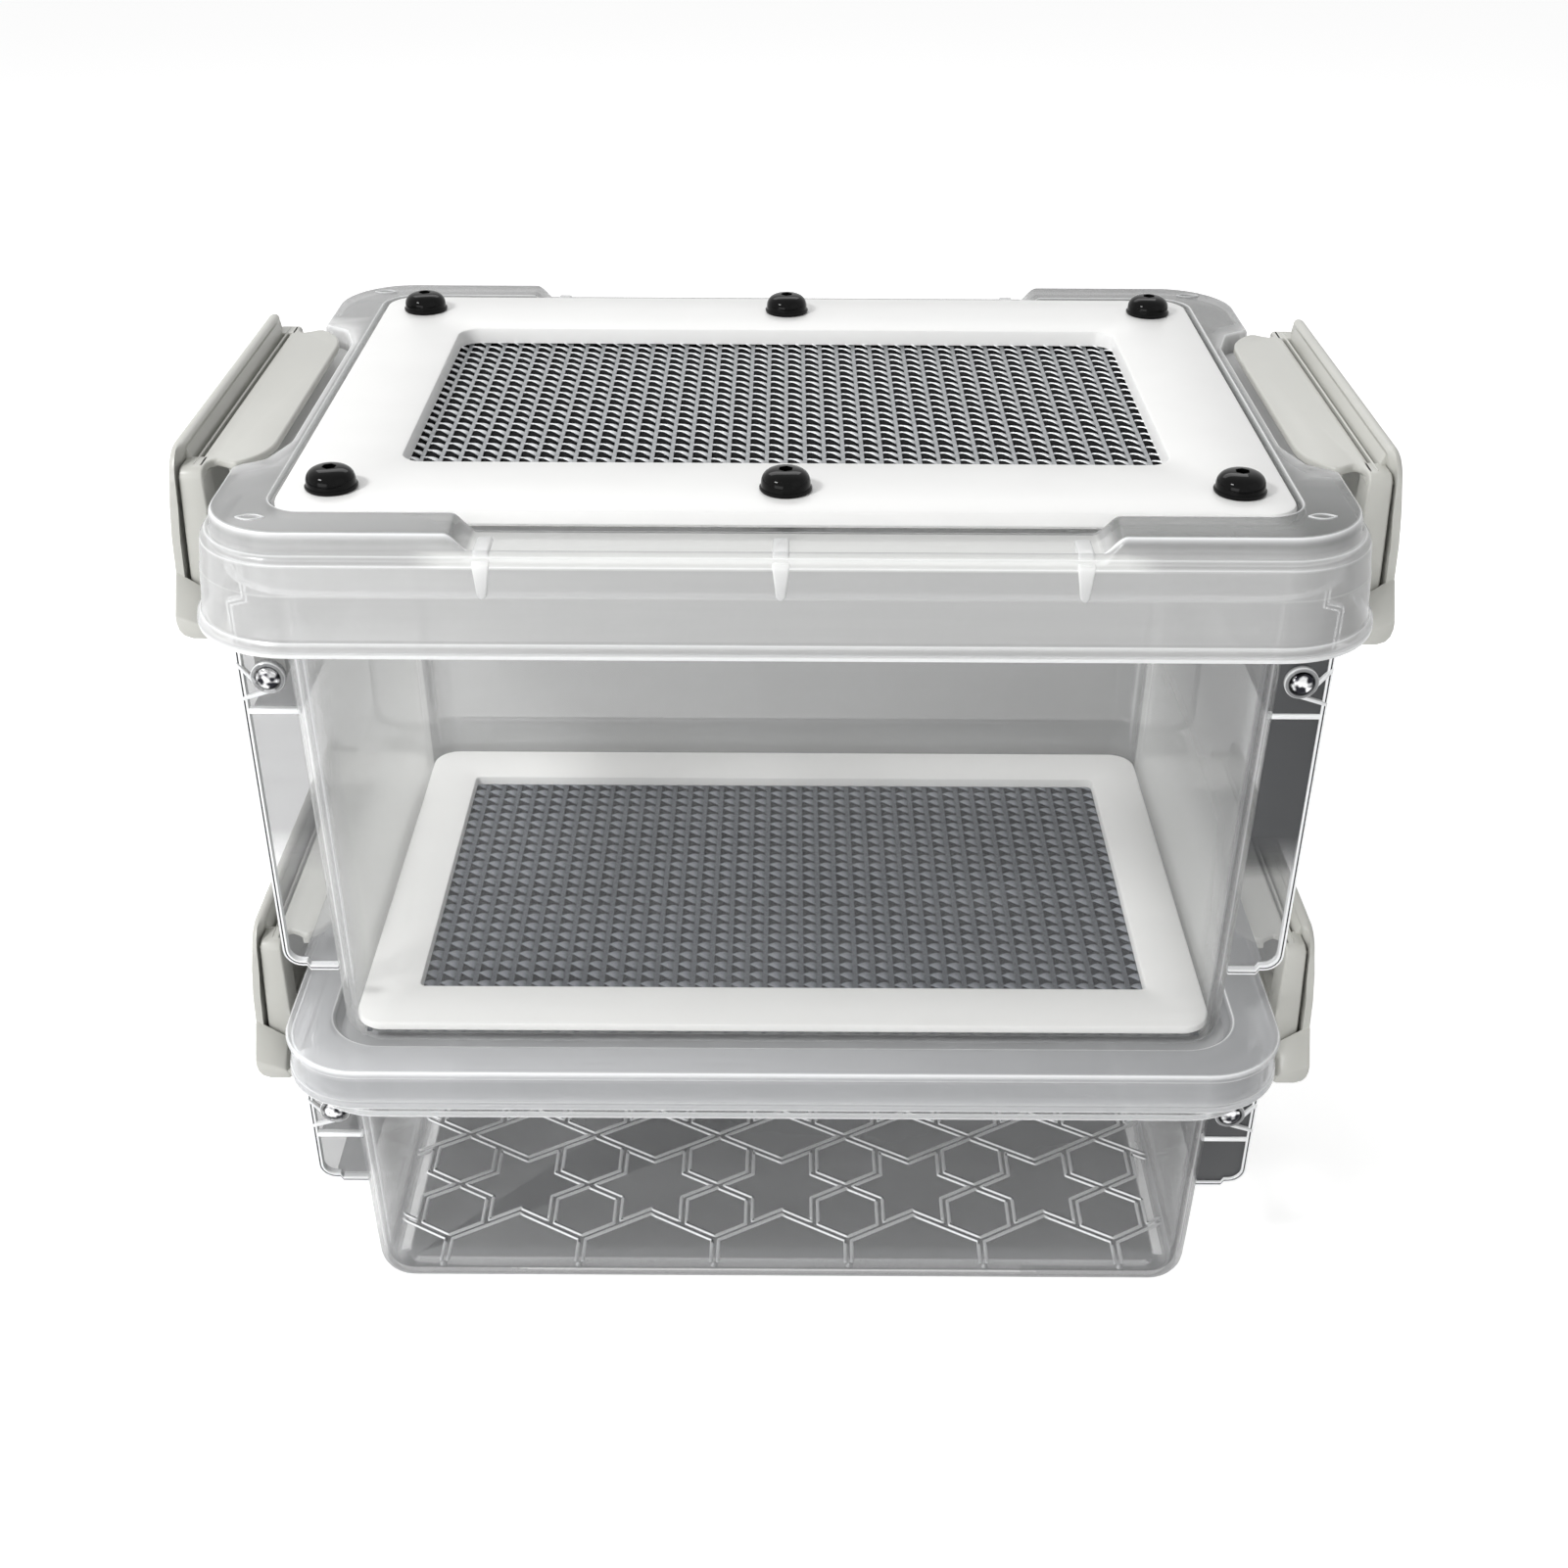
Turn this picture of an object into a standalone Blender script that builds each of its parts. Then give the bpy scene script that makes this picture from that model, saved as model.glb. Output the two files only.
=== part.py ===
"""Two tier mealworm breeding box with a screened lid, a screened floor and four side latches.

Metres, +Z up. The origin is on the ground under the middle of the box. The long sides face
-Y (front) and +Y (back), and the latches are on the short sides at -X (left) and +X (right).
"""
import math

import bmesh
import bpy

# Clearances and overruns
FIT_GAP = 0.0003
PIN_PLAY = 0.0003
CUT_OVERRUN = 0.004
WELD_OVERLAP = 0.0008
CORNER_STEPS = 5
ROUND_SIDES = 16
SHARP_ANGLE = math.radians(35)

# Box bodies, one footprint for both tiers
BASE_WIDTH = 0.2440
BASE_DEPTH = 0.1560
BASE_RADIUS = 0.0120
BASE_CHAMFER = 0.0015
WALL = 0.0020
BOX_FLOOR = 0.0020
DRAFT_PER_SIDE = 0.0020
LOWER_BOX_HEIGHT = 0.0870
UPPER_BOX_HEIGHT = 0.1526
RIM_REACH_SIDE = 0.0115
RIM_REACH_FRONT = 0.0170
RIM_THICKNESS = 0.0020
RIM_DROP = 0.0080
RIM_LIP = 0.0016
RIM_WIDTH = BASE_WIDTH + 2 * RIM_REACH_SIDE
RIM_DEPTH = BASE_DEPTH + 2 * RIM_REACH_FRONT
LEDGE_SIDE = 0.0160
LEDGE_FRONT = 0.0150
FLOOR_OPENING_RADIUS = 0.0040

# Hinge pins and the places of the ears, the same on each tier
PIVOT_OFFSET = 0.0070
PIVOT_X = BASE_WIDTH / 2 + PIVOT_OFFSET
UPPER_PIVOT_DROP = 0.0422
LOWER_PIVOT_DROP = 0.0275
PIN_RADIUS = 0.0025
PIN_DOME_RADIUS = 0.0030
PIN_DOME_HEIGHT = 0.0016
PIN_DEPTH = 0.0080
BOSS_WALL = 0.0017
BOSS_PROUD = 0.0012

# Latches, seen along Y and measured from the pivot
LATCH_PLATE_TOP = 0.0500
LATCH_PLATE = 0.0022
LATCH_PLATE_BACK = 0.0020
LATCH_STEP = 0.0050
LATCH_REACH = 0.0225
LATCH_WALL = 0.0022
LATCH_LIP_BASE = 0.0145
LATCH_LIP_TOP = 0.0548
LATCH_LIP_WIDTH = 0.0034
LATCH_LIP_LEAN = 0.0035
LATCH_CHEEK = 0.0022
LATCH_CHEEK_EDGE = 0.0125
LATCH_HEEL_BOTTOM = 0.0090
LATCH_HEEL_TOP = 0.0210
LATCH_HEEL_FLOOR = 0.0024
LATCH_HEEL_CHAMFER = 0.0040
LATCH_BARREL_RADIUS = 0.0040
LATCH_SIDE_GAP = 0.0010
NIB_BOTTOM = 0.0456
NIB_START = 0.0055
NIB_WIDTH = 0.0018

# Ears, each of two webs on the flat of a short side
EAR_INSET = 0.0117
EAR_WEB_Y = BASE_DEPTH / 2 - EAR_INSET
EAR_WEB = 0.0022
EAR_OVER_PIVOT = 0.0077
EAR_REACH = PIVOT_X + EAR_OVER_PIVOT
EAR_TOP_GAP = 0.0012
EAR_TOP_SLOPE = 0.0010
EAR_LATCH_GAP = 0.0011
LOWER_EAR_FOOT = 0.0330
EAR_FOOT_RADIUS = 0.0050
EAR_FOOT_PLATE = 0.0022
SHELF_DROP = 0.0092
SHELF_THICKNESS = 0.0016
SHELF_INSET = 0.0022

# Length of the latches, and how far in from their ends their plates narrow
LATCH_END_INSET = 0.0083
LATCH_HALF_LENGTH = EAR_WEB_Y - LATCH_END_INSET
LATCH_PLATE_INSET = 0.0200
LATCH_STEP_INSET = 0.0065

# Lids
LID_SHEET = 0.0020
LID_RING_OVER = 0.0005
UPPER_LID_RING_WIDTH = RIM_WIDTH + 2 * LID_RING_OVER
UPPER_LID_RING_DEPTH = RIM_DEPTH + 2 * LID_RING_OVER
UPPER_LID_RING_RADIUS = 0.0200
UPPER_LID_RING_RISE = 0.0062
SHOULDER_DROP = 0.0052
SHOULDER_STEP = 0.0016
SKIRT_TOP_STEP = 0.00275
SKIRT_TOP_DROP = 0.0067
UPPER_SKIRT_DEPTH = 0.0278
SKIRT_FLARE = 0.00225
LIP_PROUD = 0.0010
LIP_HEIGHT = 0.0026
NOTCH_HALF = 0.0710
NOTCH_SLOPE = 0.0056
LATCH_ZONE_GAP = 0.0027
LATCH_ZONE_SIDE_GAP = 0.0020
LATCH_ZONE_CLEAR = 0.0032
SKIRT_RIB_SPACING = 0.0735
SKIRT_RIB_WIDTH = 0.0033
SKIRT_RIB_PROUD = 0.0008
SKIRT_RIB_HEIGHT = 0.0150
LOWER_LID_OVER = 0.0030
LOWER_LID_RADIUS = 0.0210
LOWER_LID_BAND = 0.0042
LOWER_SKIRT_DEPTH = 0.0118
LOWER_BAND_EDGE = 0.0024
LOWER_SKIRT_INSET = 0.0008
RECESS_GAP_SIDE = 0.0022
RECESS_GAP_FRONT = 0.00375
RECESS_RADIUS = 0.0145
SEAT_LEDGE_SIDE = 0.0120
SEAT_LEDGE_FRONT = 0.0110
SEAT_SIDE_GAP = 0.0005
SEAT_END_GAP = 0.0020
SEAT_CLEAR = 0.0018

# Screens, panel, frame and screws
MESH_THICKNESS = 0.0012
WIRE_WIDTH = 0.0052
MESH_COLUMNS = 21
MESH_ROWS = 12
PANEL_RING_SIDE = 0.01475
PANEL_RING_FRONT = 0.01325
PANEL_WIDTH = UPPER_LID_RING_WIDTH - 2 * PANEL_RING_SIDE
PANEL_DEPTH = UPPER_LID_RING_DEPTH - 2 * PANEL_RING_FRONT
PANEL_RADIUS = 0.0080
PANEL_SIDE_GAP = 0.0006
PANEL_THICKNESS = 0.0044
PANEL_BORDER_SIDE = 0.0254
PANEL_BORDER_FRONT = 0.03075
WINDOW_WIDTH = PANEL_WIDTH - 2 * PANEL_BORDER_SIDE
WINDOW_DEPTH = PANEL_DEPTH - 2 * PANEL_BORDER_FRONT
WINDOW_RADIUS = 0.0055
LID_WINDOW_MARGIN = 0.0020
LID_MESH_LAP = 0.0090
LID_MESH_WIDTH = WINDOW_WIDTH + 2 * LID_MESH_LAP
LID_MESH_DEPTH = WINDOW_DEPTH + 2 * LID_MESH_LAP
FRAME_GAP_SIDE = 0.0015
FRAME_GAP_FRONT = 0.00075
FRAME_WIDTH = BASE_WIDTH - 2 * WALL - 2 * FRAME_GAP_SIDE
FRAME_DEPTH = BASE_DEPTH - 2 * WALL - 2 * FRAME_GAP_FRONT
FRAME_RADIUS = 0.0080
FRAME_THICKNESS = 0.0030
FRAME_BORDER_SIDE = 0.0158
FRAME_BORDER_FRONT = 0.0175
FRAME_WINDOW_WIDTH = FRAME_WIDTH - 2 * FRAME_BORDER_SIDE
FRAME_WINDOW_DEPTH = FRAME_DEPTH - 2 * FRAME_BORDER_FRONT
FRAME_WINDOW_RADIUS = 0.0020
FLOOR_MESH_INSET = 0.0033
FLOOR_MESH_WIDTH = FRAME_WIDTH - 2 * FLOOR_MESH_INSET
FLOOR_MESH_DEPTH = FRAME_DEPTH - 2 * FLOOR_MESH_INSET
SCREW_EDGE_SIDE = 0.01225
SCREW_EDGE_FRONT = 0.01325
SCREW_SHANK_RADIUS = 0.0025
SCREW_HEAD_RADIUS = 0.0063
SCREW_HEAD_HEIGHT = 0.0046
SCREW_FLANGE = 0.0009
SCREW_TAIL = 0.0012
NUT_RADIUS = 0.0046
NUT_HEIGHT = 0.0036
NUT_SIDES = 6

# Heights that follow from the stack
LOWER_RIM_Z = LOWER_BOX_HEIGHT
LOWER_RECESS_Z = LOWER_RIM_Z + FIT_GAP + LID_SHEET
LOWER_BAND_Z = LOWER_RECESS_Z + LOWER_LID_BAND
UPPER_BASE_Z = LOWER_RECESS_Z + FIT_GAP
UPPER_RIM_Z = UPPER_BASE_Z + UPPER_BOX_HEIGHT
LID_RECESS_Z = UPPER_RIM_Z + FIT_GAP + LID_SHEET
LID_RING_Z = LID_RECESS_Z + UPPER_LID_RING_RISE
LID_MESH_Z = LID_RECESS_Z + FIT_GAP
PANEL_Z = LID_MESH_Z + MESH_THICKNESS + FIT_GAP
PANEL_TOP_Z = PANEL_Z + PANEL_THICKNESS
FLOOR_MESH_Z = UPPER_BASE_Z + BOX_FLOOR + FIT_GAP
FRAME_Z = FLOOR_MESH_Z + MESH_THICKNESS + FIT_GAP
LOWER_PIVOT_Z = LOWER_RIM_Z - LOWER_PIVOT_DROP
UPPER_PIVOT_Z = UPPER_RIM_Z - UPPER_PIVOT_DROP
SHOULDER_Z = LID_RING_Z - SHOULDER_DROP
UPPER_SKIRT_Z = LID_RING_Z - UPPER_SKIRT_DEPTH
LOWER_SKIRT_Z = LOWER_BAND_Z - LOWER_SKIRT_DEPTH
BORE_RADIUS = PIN_RADIUS + PIN_PLAY
BOSS_RADIUS = BORE_RADIUS + BOSS_WALL
LATCH_PLATE_EDGE = PIVOT_X - LATCH_PLATE_BACK
LATCH_OUTER_X = PIVOT_X + LATCH_REACH
LATCH_CHEEK_X = PIVOT_X + LATCH_CHEEK_EDGE
LATCH_PLATE_HALF = LATCH_HALF_LENGTH - LATCH_PLATE_INSET
LATCH_STEP_HALF = LATCH_HALF_LENGTH - LATCH_STEP_INSET
NIB_X = PIVOT_X + NIB_START
UPPER_EAR_Z = LOWER_PIVOT_Z + LATCH_PLATE_TOP + EAR_LATCH_GAP


def clear_scene():
    """Start from an empty file."""
    for item in list(bpy.data.objects):
        bpy.data.objects.remove(item, do_unlink=True)


def material(name, colour, roughness, metallic=0.0):
    """A plain Principled finish."""
    finish = bpy.data.materials.new(name)
    finish.use_nodes = True
    shader = finish.node_tree.nodes["Principled BSDF"]
    shader.inputs["Base Color"].default_value = (*colour, 1.0)
    shader.inputs["Roughness"].default_value = roughness
    shader.inputs["Metallic"].default_value = metallic
    finish.diffuse_color = (*colour, 1.0)
    return finish


def place(name, mesh_data, finish, origin=(0, 0, 0)):
    """Link an object whose mesh was built in world places, with its origin moved to a point."""
    for vertex in mesh_data.vertices:
        vertex.co = [value - start for value, start in zip(vertex.co, origin)]
    item = bpy.data.objects.new(name, mesh_data)
    item.location = origin
    bpy.context.collection.objects.link(item)
    if finish:
        mesh_data.materials.append(finish)
    return item


def mesh_from(shape, name):
    """Turn a bmesh into mesh data with its faces pointing out."""
    bmesh.ops.recalc_face_normals(shape, faces=shape.faces)
    data = bpy.data.meshes.new(name)
    shape.to_mesh(data)
    shape.free()
    return data


def rounded_loop(half_x, half_y, radius, z):
    """Points of a rounded rectangle at height z, anticlockwise from above."""
    points = []
    for corner, (side_x, side_y) in enumerate(((1, 1), (-1, 1), (-1, -1), (1, -1))):
        centre_x = side_x * (half_x - radius)
        centre_y = side_y * (half_y - radius)
        for step in range(CORNER_STEPS + 1):
            angle = math.pi / 2 * (corner + step / CORNER_STEPS)
            x = centre_x + radius * math.cos(angle)
            y = centre_y + radius * math.sin(angle)
            points.append((x, y, z))
    return points


def swept_rings(name, rings, closed):
    """Join loops of equal count into a solid: closed like a tyre, or capped at both ends."""
    shape = bmesh.new()
    loops = [[shape.verts.new(point) for point in ring] for ring in rings]
    pairs = list(zip(loops, loops[1:]))
    if closed:
        pairs.append((loops[-1], loops[0]))
    else:
        shape.faces.new(list(reversed(loops[0])))
        shape.faces.new(loops[-1])
    for below, above in pairs:
        count = len(below)
        for index in range(count):
            after = (index + 1) % count
            shape.faces.new((below[index], below[after], above[after], above[index]))
    return mesh_from(shape, name)


def prism(name, outline, low, high, axis):
    """Extrude a flat outline of pairs from low to high along the axis 0, 1 or 2."""
    shape = bmesh.new()
    ends = []
    for level in (low, high):
        row = []
        for first, second in outline:
            point = [first, second]
            point.insert(axis, level)
            row.append(shape.verts.new(point))
        ends.append(row)
    shape.faces.new(ends[0])
    shape.faces.new(list(reversed(ends[1])))
    count = len(outline)
    for index in range(count):
        after = (index + 1) % count
        shape.faces.new((ends[0][index], ends[0][after], ends[1][after], ends[1][index]))
    return mesh_from(shape, name)


def turned(name, profile, centre, axis, direction=1, sides=ROUND_SIDES, turn=0.0):
    """Turn a profile of (radius, height) pairs about an axis through the centre."""
    shape = bmesh.new()
    loops = []
    for radius, height in profile:
        loop = []
        for side in range(sides):
            angle = 2 * math.pi * side / sides + turn
            point = [radius * math.cos(angle), radius * math.sin(angle)]
            point.insert(axis, direction * height)
            loop.append(shape.verts.new([a + b for a, b in zip(point, centre)]))
        loops.append(loop)
    shape.faces.new(loops[0])
    shape.faces.new(list(reversed(loops[-1])))
    for below, above in zip(loops, loops[1:]):
        for index in range(sides):
            after = (index + 1) % sides
            shape.faces.new((below[index], below[after], above[after], above[index]))
    return mesh_from(shape, name)


def block(low, high):
    """The outline in X and Y, and the heights, of a plain block."""
    outline = ((low[0], low[1]), (high[0], low[1]), (high[0], high[1]), (low[0], high[1]))
    return prism("block", outline, low[2], high[2], 2)


def helper(name, mesh_data):
    """A hidden object that a Boolean reads."""
    item = place(name, mesh_data, None)
    item.hide_render = True
    item.display_type = "WIRE"
    return item


def combine(item, tool_mesh, operation):
    """Add or cut a closed shape with the exact solver, and apply it."""
    tool = helper(item.name + "_tool", tool_mesh)
    step = item.modifiers.new(operation, "BOOLEAN")
    step.operation = operation
    step.object = tool
    step.solver = "EXACT"
    bpy.context.view_layer.update()
    graph = bpy.context.evaluated_depsgraph_get()
    result = bpy.data.meshes.new_from_object(item.evaluated_get(graph))
    item.modifiers.clear()
    item.data = result
    bpy.data.objects.remove(tool, do_unlink=True)


def add(item, tool_mesh):
    combine(item, tool_mesh, "UNION")


def cut(item, tool_mesh):
    combine(item, tool_mesh, "DIFFERENCE")


def smooth(item):
    """Smooth shading that keeps real edges sharp."""
    item.data.shade_smooth()
    item.data.set_sharp_from_angle(angle=SHARP_ANGLE)


def flip_x(points, side):
    """Mirror outline pairs to the left side when side is -1."""
    return [(side * first, second) for first, second in points]


def box_rings(base_z, height, open_floor):
    """Section of a box: bottom edge, wall, turned rim, inner wall and floor."""
    half_x = BASE_WIDTH / 2
    half_y = BASE_DEPTH / 2
    top_x = half_x + DRAFT_PER_SIDE
    top_y = half_y + DRAFT_PER_SIDE
    top_radius = BASE_RADIUS + DRAFT_PER_SIDE
    rim_x = RIM_WIDTH / 2
    rim_y = RIM_DEPTH / 2
    rim_radius = top_radius + rim_x - top_x
    rim_z = base_z + height
    lip_x = rim_x - RIM_LIP
    lip_y = rim_y - RIM_LIP
    lip_radius = rim_radius - RIM_LIP
    inner_x = half_x - WALL
    inner_y = half_y - WALL
    inner_radius = BASE_RADIUS - WALL
    floor_z = base_z + BOX_FLOOR
    edge = BASE_CHAMFER
    rings = [
        rounded_loop(half_x - edge, half_y - edge, BASE_RADIUS - edge, base_z),
        rounded_loop(half_x, half_y, BASE_RADIUS, base_z + edge),
        rounded_loop(top_x, top_y, top_radius, rim_z - RIM_THICKNESS),
        rounded_loop(lip_x, lip_y, lip_radius, rim_z - RIM_THICKNESS),
        rounded_loop(lip_x, lip_y, lip_radius, rim_z - RIM_DROP),
        rounded_loop(rim_x, rim_y, rim_radius, rim_z - RIM_DROP),
        rounded_loop(rim_x, rim_y, rim_radius, rim_z),
        rounded_loop(top_x - WALL, top_y - WALL, top_radius - WALL, rim_z),
        rounded_loop(inner_x, inner_y, inner_radius, floor_z + edge),
        rounded_loop(inner_x - edge, inner_y - edge, inner_radius - edge, floor_z),
    ]
    if open_floor:
        opening = (half_x - LEDGE_SIDE, half_y - LEDGE_FRONT, FLOOR_OPENING_RADIUS)
        rings.append(rounded_loop(*opening, floor_z))
        rings.append(rounded_loop(*opening, base_z))
    return rings


def ear_outline(foot_z, skirt_z, rim_z):
    """Outline in X and Z of an ear's web, on the right side."""
    inner_x = BASE_WIDTH / 2 - WALL / 2
    under_rim = rim_z - RIM_THICKNESS / 2
    points = [(inner_x, under_rim), (inner_x, foot_z)]
    for step in range(CORNER_STEPS + 1):
        angle = math.pi / 2 * step / CORNER_STEPS
        x = EAR_REACH - EAR_FOOT_RADIUS + EAR_FOOT_RADIUS * math.sin(angle)
        z = foot_z + EAR_FOOT_RADIUS - EAR_FOOT_RADIUS * math.cos(angle)
        points.append((x, z))
    top_x = RIM_WIDTH / 2 - RIM_LIP / 2
    points.append((EAR_REACH, skirt_z - EAR_TOP_GAP - EAR_TOP_SLOPE))
    points.append((top_x, skirt_z - EAR_TOP_GAP))
    points.append((top_x, under_rim))
    return points


def add_ears(item, foot_z, skirt_z, rim_z, pivot_z):
    """Two webs on each short side, tied by a shelf and a foot plate, with a boss at each pin."""
    for side in (-1, 1):
        for end in (-1, 1):
            inner_y = end * EAR_WEB_Y
            outer_y = end * (EAR_WEB_Y + EAR_WEB)
            outline = flip_x(ear_outline(foot_z, skirt_z, rim_z), side)
            add(item, prism("web", outline, inner_y, outer_y, 1))
            boss = [(BOSS_RADIUS, 0), (BOSS_RADIUS, EAR_WEB / 2 + BOSS_PROUD)]
            centre = (side * PIVOT_X, end * (EAR_WEB_Y + EAR_WEB / 2), pivot_z)
            add(item, turned("boss", boss, centre, 1, end))
        wall_x = BASE_WIDTH / 2 - WALL / 2
        half_y = EAR_WEB_Y + WELD_OVERLAP
        shelf_top = pivot_z - SHELF_DROP
        shelf = (shelf_top - SHELF_THICKNESS, shelf_top, EAR_REACH - SHELF_INSET)
        foot = (foot_z, foot_z + EAR_FOOT_PLATE, EAR_REACH - EAR_FOOT_RADIUS)
        for low_z, high_z, reach in (shelf, foot):
            plate = ((wall_x, low_z), (reach, low_z), (reach, high_z), (wall_x, high_z))
            add(item, prism("plate", flip_x(plate, side), -half_y, half_y, 1))
    for side in (-1, 1):
        for end in (-1, 1):
            reach = EAR_WEB + BOSS_PROUD + CUT_OVERRUN
            centre = (side * PIVOT_X, end * (EAR_WEB_Y - CUT_OVERRUN / 2), pivot_z)
            bore = [(BORE_RADIUS, 0), (BORE_RADIUS, reach + CUT_OVERRUN / 2)]
            cut(item, turned("bore", bore, centre, 1, end))


def make_box(name, base_z, height, open_floor, foot_z, skirt_z, pivot_z, finish):
    """A moulded box body with its ears."""
    data = swept_rings(name, box_rings(base_z, height, open_floor), open_floor)
    item = place(name, data, finish)
    add_ears(item, foot_z, skirt_z, base_z + height, pivot_z)
    smooth(item)
    return item


def hinge_pin_mesh(side, end, pivot_z):
    """Steel pin with a domed outer end that bears in the ear and the latch's barrel."""
    face_y = EAR_WEB_Y + EAR_WEB + BOSS_PROUD + FIT_GAP
    tail = EAR_WEB_Y - PIN_DEPTH - face_y
    profile = [(PIN_RADIUS, tail), (PIN_RADIUS, 0), (PIN_DOME_RADIUS, 0)]
    dome_steps = 3
    for step in range(1, dome_steps + 1):
        angle = math.pi / 2 * step / (dome_steps + 1)
        profile.append((PIN_DOME_RADIUS * math.cos(angle), PIN_DOME_HEIGHT * math.sin(angle)))
    return turned("pin", profile, (side * PIVOT_X, end * face_y, pivot_z), 1, end)


def make_pins(prefix, pivot_z, finish):
    """One pin at each end of each latch."""
    for side, side_name in ((-1, "left"), (1, "right")):
        for end, end_name in ((-1, "front"), (1, "back")):
            name = f"{prefix}_pin_{side_name}_{end_name}"
            origin = (side * PIVOT_X, end * EAR_WEB_Y, pivot_z)
            smooth(place(name, hinge_pin_mesh(side, end, pivot_z), finish, origin))


def latch_hook_outline(pivot_z):
    """Outline in X and Z of the wall, rolled lip, plate and nib, on the right side."""
    top = pivot_z + LATCH_PLATE_TOP
    under = top - LATCH_PLATE
    inner_x = LATCH_OUTER_X - LATCH_WALL
    low = pivot_z + LATCH_HEEL_TOP - WELD_OVERLAP
    lip_x = LATCH_OUTER_X - LATCH_LIP_LEAN
    lip_top = pivot_z + LATCH_LIP_TOP
    return [
        (inner_x, low),
        (LATCH_OUTER_X, low),
        (LATCH_OUTER_X, top - LATCH_PLATE),
        (LATCH_OUTER_X - LATCH_LIP_LEAN / 3, top + LATCH_PLATE / 2),
        (lip_x, lip_top),
        (lip_x - LATCH_LIP_WIDTH / 2, lip_top + WELD_OVERLAP / 2),
        (lip_x - LATCH_LIP_WIDTH, lip_top - WELD_OVERLAP),
        (PIVOT_X + LATCH_LIP_BASE, top),
        (LATCH_PLATE_EDGE, top),
        (LATCH_PLATE_EDGE, under),
        (NIB_X, under),
        (NIB_X, pivot_z + NIB_BOTTOM),
        (NIB_X + NIB_WIDTH, pivot_z + NIB_BOTTOM),
        (NIB_X + NIB_WIDTH, under),
        (inner_x - LATCH_LIP_LEAN, under),
        (inner_x, under - LATCH_LIP_LEAN),
    ]


def latch_heel_outline(pivot_z):
    """Outline in X and Z of the turned-in lower part and the barrel round the pins."""
    bottom = pivot_z + LATCH_HEEL_BOTTOM
    floor_z = bottom + LATCH_HEEL_FLOOR
    top = pivot_z + LATCH_HEEL_TOP
    inner_x = LATCH_OUTER_X - LATCH_WALL
    points = [
        (PIVOT_X - LATCH_BARREL_RADIUS * math.cos(math.pi / 4), floor_z),
        (inner_x - LATCH_HEEL_CHAMFER / 2, floor_z),
        (inner_x, floor_z + LATCH_HEEL_CHAMFER / 2),
        (inner_x, top),
        (LATCH_OUTER_X, top),
        (LATCH_OUTER_X, bottom + LATCH_HEEL_CHAMFER),
        (LATCH_OUTER_X - LATCH_HEEL_CHAMFER, bottom),
        (PIVOT_X + LATCH_BARREL_RADIUS, bottom),
    ]
    barrel_steps = 10
    for step in range(barrel_steps + 1):
        angle = -math.pi * step / barrel_steps
        x = PIVOT_X + LATCH_BARREL_RADIUS * math.cos(angle)
        points.append((x, pivot_z + LATCH_BARREL_RADIUS * math.sin(angle)))
    return points


def make_latch(name, side, pivot_z, finish):
    """A latch handle: wall, plate over the lid, cheeks, and a heel that turns on the pins."""
    half = LATCH_HALF_LENGTH
    hook = prism(name, flip_x(latch_hook_outline(pivot_z), side), -half, half, 1)
    item = place(name, hook, finish)
    heel_half = EAR_WEB_Y - LATCH_SIDE_GAP
    add(item, prism("heel", flip_x(latch_heel_outline(pivot_z), side), -heel_half, heel_half, 1))
    under = pivot_z + LATCH_PLATE_TOP - LATCH_PLATE / 2
    low = pivot_z + LATCH_HEEL_BOTTOM + LATCH_HEEL_FLOOR / 2
    outer = LATCH_OUTER_X - LATCH_WALL / 2
    cheek = [
        (LATCH_CHEEK_X, low),
        (outer, low + LATCH_HEEL_CHAMFER),
        (outer, under - LATCH_LIP_LEAN),
        (outer - LATCH_LIP_LEAN, under),
        (LATCH_CHEEK_X, under),
    ]
    for end in (-1, 1):
        near = end * (half - LATCH_CHEEK)
        far = end * (half - FIT_GAP)
        add(item, prism("cheek", flip_x(cheek, side), near, far, 1))
        corner = [
            (LATCH_PLATE_EDGE - CUT_OVERRUN, end * LATCH_PLATE_HALF),
            (LATCH_PLATE_EDGE, end * LATCH_PLATE_HALF),
            (PIVOT_X + LATCH_STEP, end * LATCH_STEP_HALF),
            (LATCH_CHEEK_X - FIT_GAP, end * (half - LATCH_CHEEK)),
            (LATCH_CHEEK_X - FIT_GAP, end * (half + CUT_OVERRUN)),
            (LATCH_PLATE_EDGE - CUT_OVERRUN, end * (half + CUT_OVERRUN)),
        ]
        corner = flip_x(corner, side)
        cut(item, prism("corner", corner, pivot_z + LATCH_HEEL_TOP, pivot_z + LATCH_LIP_TOP, 2))
        bore = [(BORE_RADIUS, 0), (BORE_RADIUS, PIN_DEPTH + CUT_OVERRUN)]
        start = end * (EAR_WEB_Y - PIN_DEPTH - 2 * FIT_GAP)
        cut(item, turned("bore", bore, (side * PIVOT_X, start, pivot_z), 1, end))
    origin = (side * PIVOT_X, 0, pivot_z)
    data = item.data
    for vertex in data.vertices:
        vertex.co = [value - start for value, start in zip(vertex.co, origin)]
    item.location = origin
    smooth(item)
    return item


def screw_places():
    """Centres of the six screws: the corners and the middles of the long sides."""
    reach_x = PANEL_WIDTH / 2 - SCREW_EDGE_SIDE
    reach_y = PANEL_DEPTH / 2 - SCREW_EDGE_FRONT
    return [(column * reach_x, row * reach_y) for row in (-1, 1) for column in (-1, 0, 1)]


def cut_screw_holes(item, low_z, thickness):
    """Clear holes for the six screws through a flat piece."""
    for x, y in screw_places():
        radius = SCREW_SHANK_RADIUS + PIN_PLAY
        hole = [(radius, 0), (radius, thickness + 2 * CUT_OVERRUN)]
        cut(item, turned("hole", hole, (x, y, low_z - CUT_OVERRUN), 2))


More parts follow.
